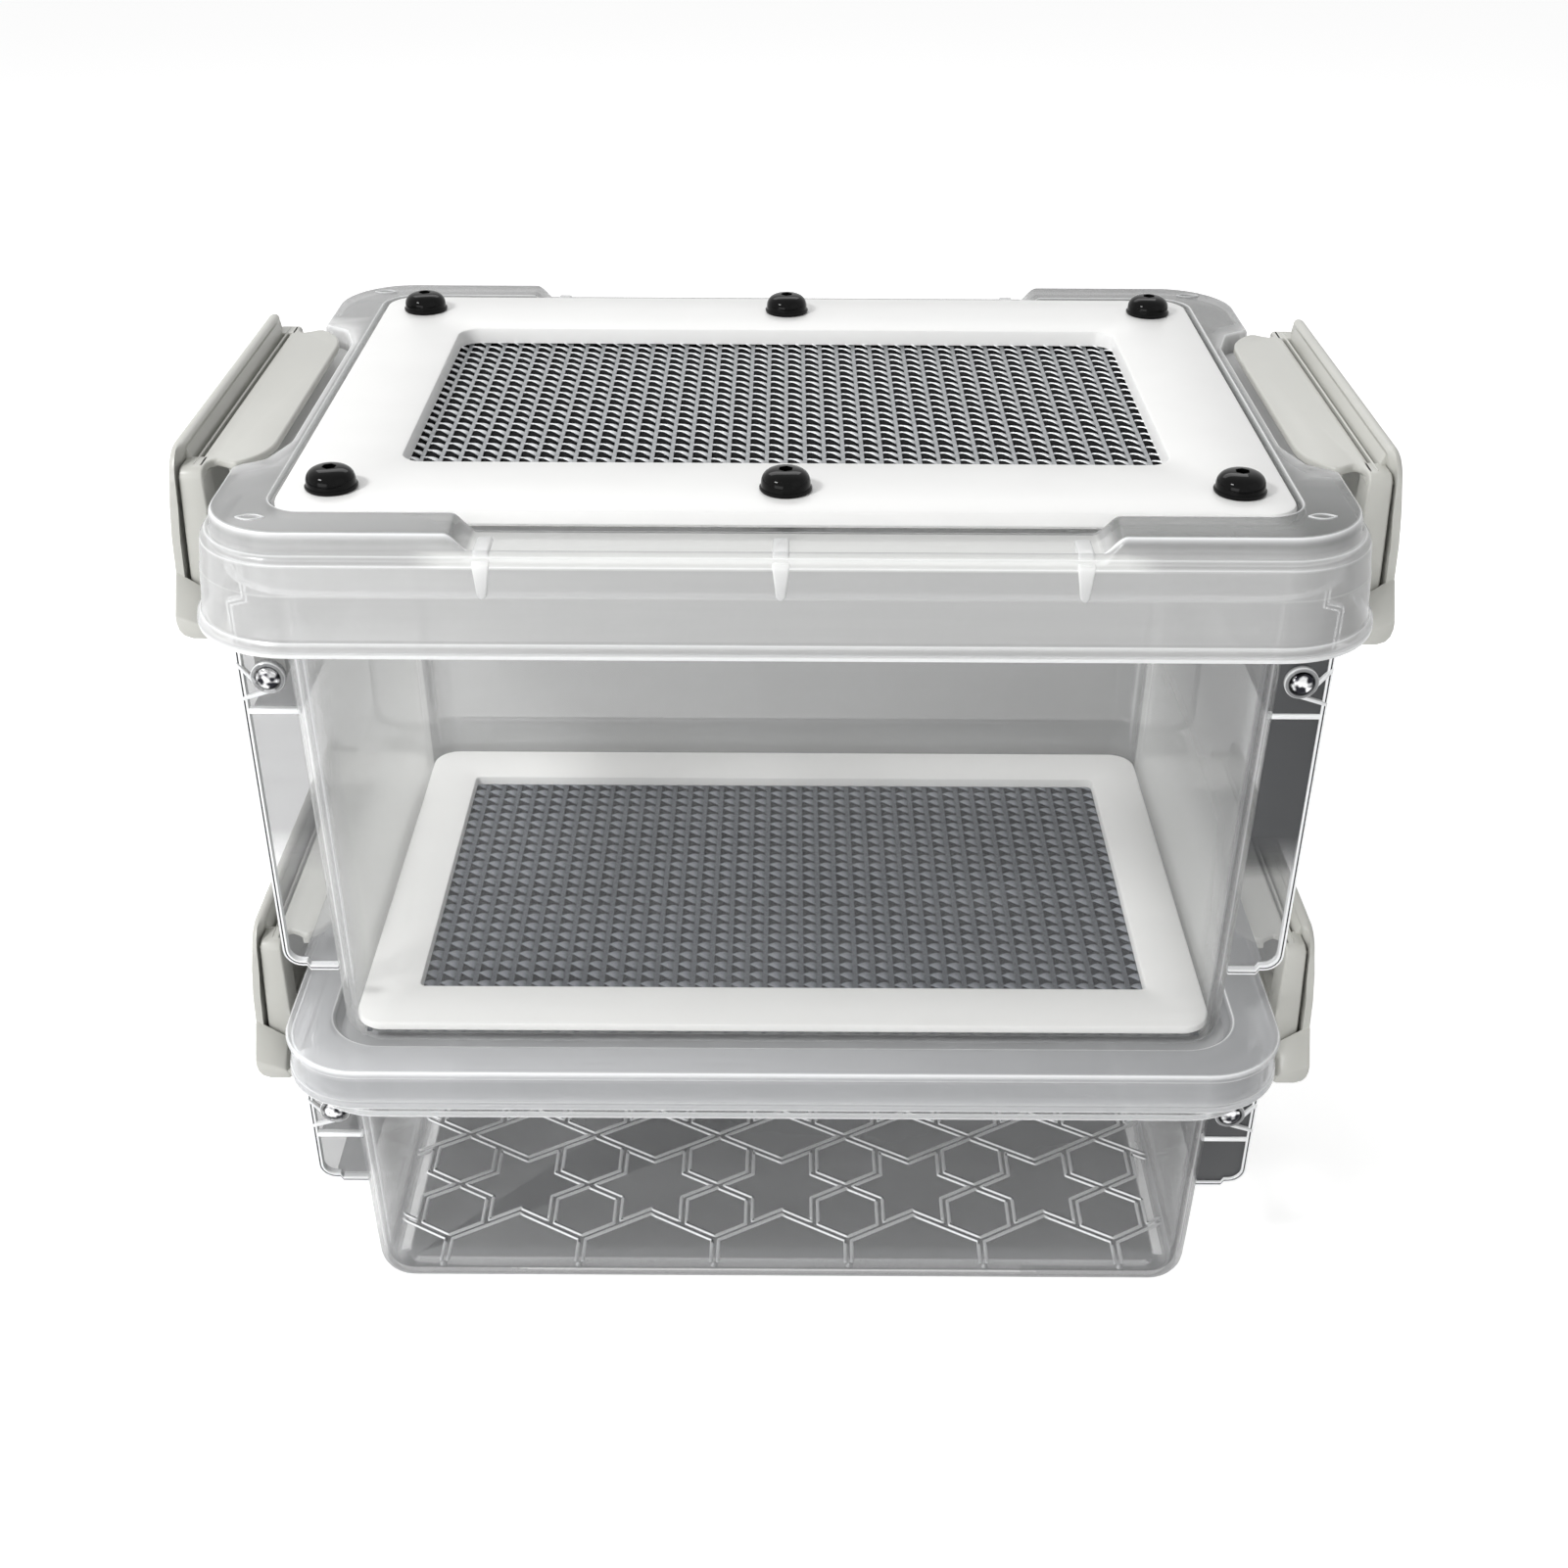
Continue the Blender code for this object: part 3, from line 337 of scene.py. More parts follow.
def clear_finish(name, light, dark, thin, thick, cloud, passing):
    """Clear moulded plastic: denser and darker where it is hazy or carries painted shade, lighter where it is seen
    along its wall, with flow marks. Painted light makes it paler and lets it shine faintly where its share of painted
    light is high, and painted highlights and painted dark lines make it white or black at its edges. Light on its way
    to the inside passes it."""
    item, pen, shader = finish(name, {"IOR": 1.49, "Emission Strength": 1.0})
    place = pen.node("ShaderNodeTexCoord", output=3)
    clouds = pen.node("ShaderNodeTexNoise", inputs={"Vector": place, "Scale": 18.0, "Detail": 3.0})
    stretched = pen.node("ShaderNodeMapping", inputs={"Vector": place, "Scale": (12.0, 12.0, 260.0)})
    flow = pen.node("ShaderNodeTexNoise", inputs={"Vector": stretched, "Scale": 1.0, "Detail": 2.0})
    haze = pen.node("ShaderNodeAttribute", {"attribute_name": "haze"}, output=2)
    pale = pen.node("ShaderNodeAttribute", {"attribute_name": "pale"}, output=2)
    edge = pen.node("ShaderNodeAttribute", {"attribute_name": "edge"}, output=2)
    along = pen.node("ShaderNodeLayerWeight", inputs={"Blend": 0.35}, output=1)
    # Painted highlights and painted dark lines: the edge share whitens or blackens the colour and thickens the
    # plastic.
    white = pen.maths("MAXIMUM", edge, 0.0) ** 2
    black = pen.maths("MAXIMUM", edge * -1.0, 0.0) ** 2
    rim = along ** 3
    # Painted light: its share makes the colour paler.
    inside = pen.mix(pale, pen.mix(haze, light, dark), (0.86, 0.87, 0.85, 1))
    seen_along = pen.mix(haze, (0.90, 0.91, 0.92, 1), (0.25, 0.255, 0.26, 1))
    lined = pen.mix(black, pen.mix(rim, inside, seen_along), (0.03, 0.03, 0.035, 1))
    feed(shader, "Base Color", pen.mix(white, lined, (0.96, 0.97, 0.98, 1)))
    # Painted light: the same share makes the plastic shine faintly, though it is no lamp.
    feed(shader, "Emission Color", pen.mix(pale, (0, 0, 0, 1), (0.26, 0.26, 0.25, 1)))
    body = thin + haze * (thick - thin) + (clouds - 0.5) * cloud + (flow - 0.5) * cloud
    denser = pen.maths("MAXIMUM", rim * 0.6, pen.maths("MAXIMUM", white, black)) * (0.88 - thin)
    opacity = pen.maths("MINIMUM", body + denser, 1.0)
    feed(shader, "Alpha", opacity * (1.0 - inward(pen) * passing))
    feed(shader, "Roughness", 0.14 + clouds * 0.10)
    bump = pen.node("ShaderNodeBump", inputs={"Height": flow, "Strength": 0.06, "Distance": 0.0004})
    feed(shader, "Normal", bump)
    return item


clear_body = clear_finish("clear_body", (0.61, 0.62, 0.63, 1), (0.045, 0.047, 0.050, 1), 0.06, 0.50, 0.04, 0.97)
clear_lid = clear_finish("clear_lid", (0.87, 0.87, 0.87, 1), (0.15, 0.155, 0.15, 1), 0.45, 0.65, 0.08, 0.92)

BOX_WALL = 0.0020
BOX_HALF_X = 0.1220
BOX_HALF_Y = 0.0780
BOX_RADIUS = 0.0120
BOX_DRAFT = 0.0020
RIM_HALF_X = 0.1335
RIM_HALF_Y = 0.0950
RIM_DROP = 0.0075
PLAIN_STATIONS = [0.015, 0.045, 0.070]
PIVOT_X = 0.1290
EAR_REACH = 0.1367
WEB_Y = 0.0663
WEB = 0.0022


def box_skin(name, base_z, height, opening):
    """The inner side of a box: floor, fillet, drafted wall, flat rim and its turned edge."""
    rings = []
    painted_edge_light = []

    def ring(half_x, half_y, radius, z, share):
        plan = outline(half_x, half_y, radius, PLAIN_STATIONS, PLAIN_STATIONS)
        rings.append(np.column_stack((plan, np.full(len(plan), z))))
        painted_edge_light.append(share)

    inner_x = BOX_HALF_X - BOX_WALL
    inner_y = BOX_HALF_Y - BOX_WALL
    inner_radius = BOX_RADIUS - BOX_WALL
    floor_z = base_z + BOX_WALL
    rim_z = base_z + height
    # The last value of each ring is its painted edge light: painted highlights at the opening, on the fillet, up the
    # corners and round the rim, and a painted dark line on the fillet.
    if opening:
        ring(opening[0], opening[1], 0.0040, floor_z, 0.9)
        ring(opening[0] + 0.0008, opening[1] + 0.0008, 0.0045, floor_z, 0.2)
    else:
        ring(inner_x - 0.0070, inner_y - 0.0070, 0.0045, floor_z, 0)
        ring(inner_x - 0.0062, inner_y - 0.0062, 0.0050, floor_z, 0)
    fillet = 0.0035
    turns = 5
    for step in range(turns + 1):
        angle = math.pi / 2 * step / turns
        inset = fillet * (1 - math.sin(angle))
        ring(inner_x - inset, inner_y - inset, inner_radius - inset, floor_z + fillet * (1 - math.cos(angle)),
             (0.0, 0.5, 0.6, 0.0, -0.4, 0.0)[step])
    plain = [0.0] * (2 * len(PLAIN_STATIONS))
    # Painted highlights run up the wall at each corner.
    corner = [0.6, 0.3] + [0.0] * 4 + [0.3, 0.7, 0.3] + [0.0] * (CORNER_TURNS - 8)
    painted_corner_highlights = (plain + corner + plain + corner[::-1]) * 2
    for share in (0.15, 0.5, 0.96):
        draft = BOX_DRAFT * share
        ring(inner_x + draft, inner_y + draft, inner_radius + draft, floor_z + (height - BOX_WALL) * share,
             painted_corner_highlights)
    top_x = inner_x + BOX_DRAFT
    top_y = inner_y + BOX_DRAFT
    top_radius = inner_radius + BOX_DRAFT
    rim_radius = top_radius + RIM_HALF_X - top_x
    ring(top_x, top_y, top_radius, rim_z - 0.0012, 0.3)
    ring(top_x + 0.0004, top_y + 0.0004, top_radius, rim_z - 0.0003, 0.9)
    ring(top_x + 0.0012, top_y + 0.0012, top_radius + 0.001, rim_z, 0.6)
    ring(top_x + 0.0040, top_y + 0.0060, top_radius + 0.004, rim_z, 0.1)
    ring(RIM_HALF_X - 0.0012, RIM_HALF_Y - 0.0012, rim_radius - 0.0012, rim_z, 0.2)
    ring(RIM_HALF_X - 0.0003, RIM_HALF_Y - 0.0003, rim_radius - 0.0003, rim_z - 0.0004, 0.6)
    ring(RIM_HALF_X, RIM_HALF_Y, rim_radius, rim_z - 0.0014, 0.3)
    ring(RIM_HALF_X, RIM_HALF_Y, rim_radius, rim_z - RIM_DROP + 0.0008, 0.2)
    ring(RIM_HALF_X, RIM_HALF_Y, rim_radius, rim_z - RIM_DROP, 1.0)
    item = skin(name, rings, painted_edge_light, cap_start=not opening)
    thicken(item, BOX_WALL)
    return item


def ear_pieces(side, base_z, foot, rim_z, pivot_z, skirt_z):
    """The two webs of an ear with strips along their edges painted as highlights and a dark line, shelf, foot and pin
    bosses.
    """
    wall_x = BOX_HALF_X + 0.0002
    pieces = []
    foot_z = base_z + foot
    top_x = RIM_HALF_X - 0.0008
    bend = 0.0050
    turns = 6

    def edge_line(inset):
        line = [(top_x - inset, rim_z - 0.0015), (top_x - inset, skirt_z - 0.0012 - inset),
                (EAR_REACH - inset, skirt_z - 0.0022 - inset)]
        reach = bend - inset
        for step in range(turns + 1):
            angle = math.pi / 2 * step / turns
            line.append((EAR_REACH - bend + reach * math.cos(angle), foot_z + bend - reach * math.sin(angle)))
        line += [(0.1306, foot_z + inset), (0.1298, foot_z - 0.0014 + inset), (wall_x, foot_z - 0.0014 + inset)]
        return [(side * x, z) for x, z in line]

    for end in (-1, 1):
        web = edge_line(0.0001) + [(side * (wall_x + 0.0018), rim_z - 0.0015)]
        pieces.append(slab("web", web, end * (WEB_Y + 0.0004), end * (WEB_Y + 0.0016), 1, 0.0002))
        # The three edge strips are painted white, black and white: painted highlights with a painted dark line
        # between them.
        for outer, inner, painted_edge_light in ((0.0, 0.0005, 1.0), (0.0005, 0.0009, -1.0), (0.0009, 0.0014, 1.0)):
            strip = edge_line(outer) + edge_line(inner)[::-1]
            pieces.append(slab("strip", strip, end * WEB_Y, end * (WEB_Y + WEB), 1, 0, painted_edge_light))
        pieces.append(ring_boss(side, end, pivot_z))
        for rail in boss_rails(side, end, pivot_z):
            pieces.append(rail)
        # The rib is painted white as a painted highlight.
        shelf = [(side * wall_x, pivot_z - 0.0108), (side * (EAR_REACH - 0.0010), pivot_z - 0.0108),
                 (side * (EAR_REACH - 0.0010), pivot_z - 0.0094), (side * wall_x, pivot_z - 0.0094)]
        pieces.append(slab("rib", shelf, end * WEB_Y, end * (WEB_Y + WEB), 1, 0.0003, 1.0))
    # Shelf and foot carry a faint painted highlight.
    shelf = [(side * wall_x, pivot_z - 0.0108), (side * 0.1345, pivot_z - 0.0108),
             (side * 0.1345, pivot_z - 0.0092), (side * wall_x, pivot_z - 0.0092)]
    pieces.append(slab("shelf", shelf, -WEB_Y, WEB_Y, 1, 0.0004, 0.35))
    plate = [(side * wall_x, foot_z), (side * (EAR_REACH - bend), foot_z),
             (side * (EAR_REACH - bend), foot_z + 0.0022), (side * wall_x, foot_z + 0.0022)]
    pieces.append(slab("foot", plate, -WEB_Y, WEB_Y, 1, 0.0004, 0.35))
    return pieces


def turned(name, profile, centre, axis, direction, sides, painted_edge_light=0.0):
    """A closed solid turned round an axis from pairs of radius and height."""
    rings = []
    for radius, height in profile:
        ring = []
        for turn in range(sides):
            angle = 2 * math.pi * turn / sides
            point = [centre[0] + radius * math.cos(angle), centre[1] + radius * math.sin(angle)]
            if axis == 1:
                point = [centre[0] + radius * math.cos(angle), centre[2] + radius * math.sin(angle)]
            point.insert(axis, centre[axis] + direction * height)
            ring.append(point)
        rings.append(ring)
    item = skin(name, rings, [painted_edge_light] * len(rings), cap_start=True, cap_end=True)
    tidy_normals(item.data)
    return item


def ring_boss(side, end, pivot_z):
    """The round collar that a pin sits in, proud of its web."""
    outer = 0.0043
    inner = 0.0031
    low = WEB_Y + 0.0010
    high = WEB_Y + WEB + 0.0012
    turns = 40
    rings = []
    for radius, y in ((inner, low), (inner, high - 0.0003), (inner + 0.0003, high), (outer - 0.0003, high),
                      (outer, high - 0.0003), (outer, low)):
        rings.append([(side * PIVOT_X + radius * math.cos(2 * math.pi * t / turns), end * y,
                       pivot_z + radius * math.sin(2 * math.pi * t / turns)) for t in range(turns)])
    # The collar is painted: painted shade inside it and a painted highlight at its outer edge.
    item = skin("boss", rings, (-0.8, -0.6, 0.4, 0.5, 1.0, 0.0), closed=True)
    tidy_normals(item.data)
    return item


def boss_rails(side, end, pivot_z):
    """Two slanted rails that guide the latch's end into its seat from outside."""
    low = WEB_Y + 0.0012
    high = WEB_Y + WEB + 0.0006
    thick = 0.0009
    upper = [(0.0036, -0.0020), (0.0074, 0.0028), (0.0074, 0.0040), (0.0030, -0.0010)]
    lower = [(-0.0018, -0.0039), (0.0074, -0.0068), (0.0074, -0.0068 + thick), (-0.0012, -0.0039 + thick)]
    for line in (upper, lower):
        points = [(side * (PIVOT_X + x), pivot_z + z) for x, z in line]
        # Each rail is painted nearly white: a painted highlight.
        yield slab("rail", points, end * low, end * high, 1, 0.0002, 0.9)


def grown(name, build, sizes, material):
    """Run a Geometry Nodes tree with named sizes, and keep what it makes as a plain mesh."""
    tree = bpy.data.node_groups.new(name, "GeometryNodeTree")
    tree.interface.new_socket("Geometry", in_out="OUTPUT", socket_type="NodeSocketGeometry")
    for size, value in sizes.items():
        kind = "NodeSocketInt" if isinstance(value, int) else "NodeSocketFloat"
        tree.interface.new_socket(size, in_out="INPUT", socket_type=kind)
    start = tree.nodes.new("NodeGroupInput")
    given = {socket.name: Value(tree, socket) for socket in start.outputs if socket.name}
    made = build(Value(tree), given)
    real = made.node("GeometryNodeRealizeInstances", inputs={0: made})
    painted = real.node("GeometryNodeSetMaterial", inputs={"Geometry": real, "Material": material})
    tree.links.new(painted.socket, tree.nodes.new("NodeGroupOutput").inputs[0])
    item = bpy.data.objects.new(name, bpy.data.meshes.new(name))
    bpy.context.collection.objects.link(item)
    step = item.modifiers.new(name, "NODES")
    step.node_group = tree
    for socket in tree.interface.items_tree:
        if socket.in_out == "INPUT":
            step[socket.identifier] = sizes[socket.name]
    return settle(item)


def combine(pen, x, y, z):
    return pen.node("ShaderNodeCombineXYZ", inputs={0: x, 1: y, 2: z})


def together(pen, parts):
    """Join geometry."""
    both = pen.node("GeometryNodeJoinGeometry")
    for part in parts:
        pen.tree.links.new(part.socket, both.socket.node.inputs[0])
    return both


def star_relief(pen, given):
    """Outlines of hexagons, stars and diamonds, each drawn in from its neighbours, cut off at the
    walls and swept as thin beads, with a round pip where two lines run into the front wall."""
    pitch = given["Pitch"]
    half = pitch / 2.0
    span = pitch / math.sqrt(3)
    inset = given["Inset"]
    draw_in = 1.0 - inset * 4.0 / pitch
    front = given["Front"]

    def rows(cell, columns, count, first_y, step_y, turn=0.0):
        grid = pen.node("GeometryNodeMeshGrid", inputs={
            "Size X": pitch * (columns - 1.0), "Size Y": step_y * (count - 1.0),
            "Vertices X": columns, "Vertices Y": count})
        middle = combine(pen, 0.0, first_y + step_y * ((count - 1) / 2), 0.0)
        moved = pen.node("GeometryNodeTransform", inputs={"Geometry": grid, "Translation": middle})
        return pen.node("GeometryNodeInstanceOnPoints", inputs={
            "Points": moved, "Instance": cell, "Rotation": (0, 0, turn)})

    hexagon = pen.node("GeometryNodeCurvePrimitiveCircle", {"mode": "RADIUS"}, {
        "Resolution": 6, "Radius": span * 0.5 * draw_in})
    star = pen.node("GeometryNodeCurveStar", inputs={
        "Points": 6, "Inner Radius": span * 0.5 * draw_in, "Outer Radius": half * draw_in})
    diamond = pen.node("GeometryNodeCurvePrimitiveQuadrilateral", {"mode": "KITE"}, {
        "Width": pitch * draw_in, "Bottom Height": span * 0.5 * draw_in, "Top Height": span * 0.5 * draw_in})
    bay_reach = (half - inset) * (2 / math.sqrt(3))
    bay = pen.node("GeometryNodeCurvePrimitiveCircle", {"mode": "RADIUS"}, {
        "Resolution": 6, "Radius": bay_reach})
    apex = front + span * 0.5 - inset * (2 / math.sqrt(3))
    upright = math.pi / 6
    cells = together(pen, [
        rows(hexagon, 6, 6, front + span * 0.5, span, upright),
        rows(star, 7, 3, front + span, span * 2.0),
        rows(diamond, 7, 2, front + span * 2.0, span * 2.0),
        rows(bay, 7, 1, apex - bay_reach, span, upright),
    ])
    lines = pen.node("GeometryNodeRealizeInstances", inputs={0: cells})
    fine = pen.node("GeometryNodeSubdivideCurve", inputs={"Curve": lines, "Cuts": 11})
    wires = pen.node("GeometryNodeCurveToMesh", inputs={"Curve": fine})
    place = pen.node("GeometryNodeInputPosition")
    along_x = pen.node("ShaderNodeSeparateXYZ", inputs={0: place}, output=0)
    along_y = pen.node("ShaderNodeSeparateXYZ", inputs={0: place}, output=1)
    far_x = pen.maths("ABSOLUTE", along_x) / given["Reach X"]
    far_y = pen.maths("ABSOLUTE", along_y) / given["Reach Y"]
    outside = pen.maths("MAXIMUM", far_x, far_y) > 1.0
    kept = pen.node("GeometryNodeDeleteGeometry", {"domain": "POINT"}, {"Geometry": wires, "Selection": outside})
    again = pen.node("GeometryNodeMeshToCurve", inputs={"Mesh": kept})
    round_wire = pen.node("GeometryNodeCurvePrimitiveCircle", {"mode": "RADIUS"}, {
        "Resolution": 6, "Radius": given["Bead"]})
    beads = pen.node("GeometryNodeCurveToMesh", inputs={
        "Curve": again, "Profile Curve": round_wire, "Fill Caps": True})
    ball = pen.node("GeometryNodeMeshUVSphere", inputs={"Segments": 16, "Rings": 8, "Radius": given["Pip"]})
    pips = rows(ball, 6, 1, given["Reach Y"] * -1.0, span)
    return together(pen, [beads, pips])


def cut_across(item, z):
    """Put a line of edges round a piece at one height, so that its haze can change there."""
    mesh = bmesh.new()
    mesh.from_mesh(item.data)
    geometry = list(mesh.verts) + list(mesh.edges) + list(mesh.faces)
    bmesh.ops.bisect_plane(mesh, geom=geometry, plane_co=(0, 0, z), plane_no=(0, 0, 1))
    mesh.to_mesh(item.data)
    mesh.free()


def dress_box(pieces, name, base_z, height, foot, pivot_z, skirt_z, node, body, haze):
    """Make a whole box from its shell and its two ears. The right ear is made darker than the left by painted shade,
    and both are clearer low down, where the latch shows through."""
    for piece in pieces:
        set_share(piece, "haze", haze)
        set_share(piece, "pale", wall_painted_light)
    for side in (-1, 1):
        ears = ear_pieces(side, base_z, foot, base_z + height, pivot_z, skirt_z)
        for piece in ears:
            cut_across(piece, pivot_z - 0.0600)
            cut_across(piece, pivot_z - 0.0450)
            # Painted shade: the right ear's factor is higher, so it is darker.
            set_share(piece, "haze", lambda x, y, z: (1.46 + 0.66 * side) * (
                0.22 + 0.78 * ease(z, pivot_z - 0.0605, pivot_z - 0.0445)))
            set_share(piece, "pale", lambda x, y, z: np.zeros(len(x)))
        pieces += ears
    item = join(pieces, name)
    item.data.materials.clear()
    item.data.materials.append(clear_body)
    smooth(item)
    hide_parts(node)
    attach(item, body)
    return item


def wall_haze_and_shade(x, y, z):
    """Clear in front, hazy at the sides and the back. Painted shade makes the back wall and the front corners darker
    at the right, and the front corners lighter at the left.
    """
    right = x / BOX_HALF_X
    sides = 1.2 * ease(y, -BOX_HALF_Y, -0.050)
    back = ease(y, 0.060, 0.074) * (1.30 + 0.15 * right)
    front_corners = (np.abs(x) > 0.1165) & (y < -0.066)
    return np.where(front_corners, 0.70 + 0.20 * np.sign(x), np.maximum(sides, back))


def wall_painted_light(x, y, z):
    """Painted light makes the walls paler and lets them shine faintly: more at the left than at the right, and more
    low down in the upper box.
    """
    right = x / BOX_HALF_X
    sides = 0.72 - 0.18 * right - 0.35 * ease(z, 0.130, 0.150)
    walls = np.where(y > 0.070, 0.27 - 0.07 * right, sides) * ease(y, -BOX_HALF_Y, -0.060)
    return walls * np.where(z < 0.0885, 0.25, 1.0) * (z > 0.0060)


def tray_haze_and_shade(x, y, z):
    """As the walls, with a dark floor: painted shade, darker towards the back."""
    on_floor = (z < 0.0040) & (np.abs(x) < BOX_HALF_X - 0.0085) & (np.abs(y) < BOX_HALF_Y - 0.0085)
    # Painted shade on the floor, darker towards the back.
    painted_floor_shade = 2.10 - 0.30 * (0.5 - y / BOX_HALF_Y / 2)
    return np.where(on_floor, painted_floor_shade, np.where(z < 0.0060, 0.90, wall_haze_and_shade(x, y, z)))


LOWER_HEIGHT = 0.0870
LOWER_PIVOT_Z = 0.0595
LOWER_SKIRT_Z = 0.0817
relief = grown("floor_relief", star_relief, {
    "Pitch": 0.0409, "Inset": 0.0010, "Front": -0.0613, "Reach X": 0.1182, "Reach Y": 0.0725,
    "Bead": 0.00058, "Pip": 0.0011}, clear_body)
relief.data.transform(Matrix.Translation((0, 0, BOX_WALL)))
# Painted light and shade on the beads: lines that run from back left to front right get a painted highlight on their
# front side and a painted shadow on their back side, and the others are painted as highlights.
leans = np.empty(len(relief.data.vertices) * 3)
relief.data.vertices.foreach_get("normal", leans)
lean_x, lean_y, lean_z = leans.reshape(-1, 3).T
lit = 2 * lean_x * lean_y / np.maximum(lean_x ** 2 + lean_y ** 2, 1e-6)
painted_edge_light = relief.data.attributes.new("edge", "FLOAT", "POINT")
painted_edge_light.data.foreach_set("value", np.where(lit > 0.3, np.where(lean_y < 0, 1.0, -1.0), 0.75))
lower_box = box_skin("lower_box_shell", 0.0, LOWER_HEIGHT, None)
dress_box([lower_box, relief], "lower_box_shell", 0.0, LOWER_HEIGHT, 0.0330, LOWER_PIVOT_Z, LOWER_SKIRT_Z,
          "lower_box", "base", tray_haze_and_shade)

# The hinge pins are short bright steel rivets. Their domed heads show at the outside of the ears.
steel, pen, shader = finish("bright_steel", {"Metallic": 1.0})
place = pen.node("ShaderNodeTexCoord", output=3)
smears = pen.node("ShaderNodeTexNoise", inputs={"Vector": place, "Scale": 420.0, "Detail": 1.0})
streak = pen.maths("MINIMUM", pen.maths("MAXIMUM", (smears - 0.5) * 7.0 + 0.45, 0.0), 1.0)
feed(shader, "Base Color", pen.mix(streak, (0.02, 0.02, 0.025, 1), (0.80, 0.80, 0.81, 1)))
feed(shader, "Roughness", 0.10 + smears * 0.15)


def rivet(name, side, end, pivot_z):
    """A rivet from inside its boss to its domed head."""
    head = WEB_Y + WEB
    dome = [(0.0030 * math.cos(angle), head + 0.0009 + 0.0012 * math.sin(angle))
            for angle in np.linspace(0, math.radians(80), 7)]
    profile = [(0.0025, WEB_Y - 0.0050), (0.0025, head), (0.0029, head + 0.0002)] + dome
    return turned(name, profile, (side * PIVOT_X, 0, pivot_z), 1, end, 32)


for level, pivot_z, body in (("lower", LOWER_PIVOT_Z, "base"), ("upper", 0.2000, "upper_box")):
    for hand, side in (("left", -1), ("right", 1)):
        for place_name, end in (("front", -1), ("back", 1)):
            node_name = "%s_pin_%s_%s" % (level, hand, place_name)
            pin = rivet(node_name + "_rivet", side, end, pivot_z)
            pin.data.materials.append(steel)
            smooth(pin)
            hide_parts(node_name)
            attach(pin, body)

for number in range(1, 7):
    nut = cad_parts["lid_nut_%d" % number]
    nut.data.materials.clear()
    nut.data.materials.append(steel)

# The lower lid is clear too. Its middle is cut away, and the upper box stands in its recess.
LOWER_BAND_Z = 0.0975
LOWER_SEAT_Z = 0.0893


def flat_ring(plan, z):
    return np.column_stack((plan, np.full(len(plan), z)))


def lower_lid_rings():
    """The upper side of the lower lid, from its opening out to the foot of its skirt."""
    # Columns: half X, half Y, corner radius, height, and painted edge light, from 1 for a painted highlight to -1 for
    # a painted dark line.
    table = (
        (0.1100, 0.0670, 0.0050, LOWER_SEAT_Z, 1.0),
        (0.1110, 0.0680, 0.0060, LOWER_SEAT_Z, 0.5),
        (0.1222, 0.0800, 0.0130, LOWER_SEAT_Z, 0.5),
        (0.1235, 0.0812, 0.0140, LOWER_SEAT_Z + 0.0008, 0.3),
        (0.1246, 0.0830, 0.0150, LOWER_BAND_Z - 0.0034, -0.7),
        (0.1253, 0.0841, 0.0157, LOWER_BAND_Z - 0.0024, 1.0),
        (0.1259, 0.0848, 0.0161, LOWER_BAND_Z - 0.0023, 0.0),
        (0.1353, 0.0968, 0.0215, LOWER_BAND_Z - 0.0002, 0.0),
        (0.1360, 0.0975, 0.0222, LOWER_BAND_Z - 0.0004, 1.0),
        (0.1365, 0.0980, 0.0227, LOWER_BAND_Z - 0.0012, 0.6),
        (0.1364, 0.0979, 0.0226, LOWER_BAND_Z - 0.0018, 0.0),
        (0.1363, 0.0978, 0.0225, LOWER_BAND_Z - 0.0026, 0.7),
        (0.1357, 0.0972, 0.0219, LOWER_BAND_Z - 0.0034, -0.3),
        (0.1358, 0.0973, 0.0220, LOWER_BAND_Z - 0.0042, 0.0),
        (0.1359, 0.0974, 0.0221, LOWER_SKIRT_Z + 0.0062, 0.0),
        (0.1363, 0.0978, 0.0225, LOWER_SKIRT_Z + 0.0054, 0.7),
        (0.1365, 0.0980, 0.0227, LOWER_SKIRT_Z + 0.0048, 0.0),
        (0.1366, 0.0981, 0.0228, LOWER_SKIRT_Z + 0.0039, -0.4),
        (0.1366, 0.0981, 0.0228, LOWER_SKIRT_Z + 0.0032, 1.0),
    )
    rings = [flat_ring(outline(x, y, r, PLAIN_STATIONS, PLAIN_STATIONS), z) for x, y, r, z, share in table]
    return rings, [row[-1] for row in table]


def lower_lid_haze_and_shade(x, y, z):
    """Even round the skirt. On top, painted shade and painted light make it darker at the right and paler at the
    left.
    """
    on_top = ease(z, LOWER_BAND_Z - 0.0040, LOWER_BAND_Z - 0.0025)
    return 0.60 + on_top * (-0.45 + 0.40 * x / RIM_HALF_X)


lower_lid = skin("lower_lid_shell", *lower_lid_rings())
thicken(lower_lid, 0.0018)
seats = []
for side in (-1, 1):
    xs = sorted((side * 0.1275, side * 0.1345))
    seat = [(xs[0], -0.036), (xs[1], -0.036), (xs[1], 0.036), (xs[0], 0.036)]
    # Each seat carries a faint painted highlight.
    seats.append(slab("seat", seat, LOWER_BAND_Z - 0.0010, 0.1030, 2, 0.0008, 0.2))
lower_lid = join([lower_lid] + seats, "lower_lid_shell")
lower_lid.data.materials.clear()
lower_lid.data.materials.append(clear_finish(
    "clear_lower_lid", (0.86, 0.87, 0.89, 1), (0.15, 0.155, 0.16, 1), 0.42, 0.66, 0.06, 0.92))
set_share(lower_lid, "haze", lower_lid_haze_and_shade)
smooth(lower_lid)
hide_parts("lower_lid")
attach(lower_lid, "lower_lid")

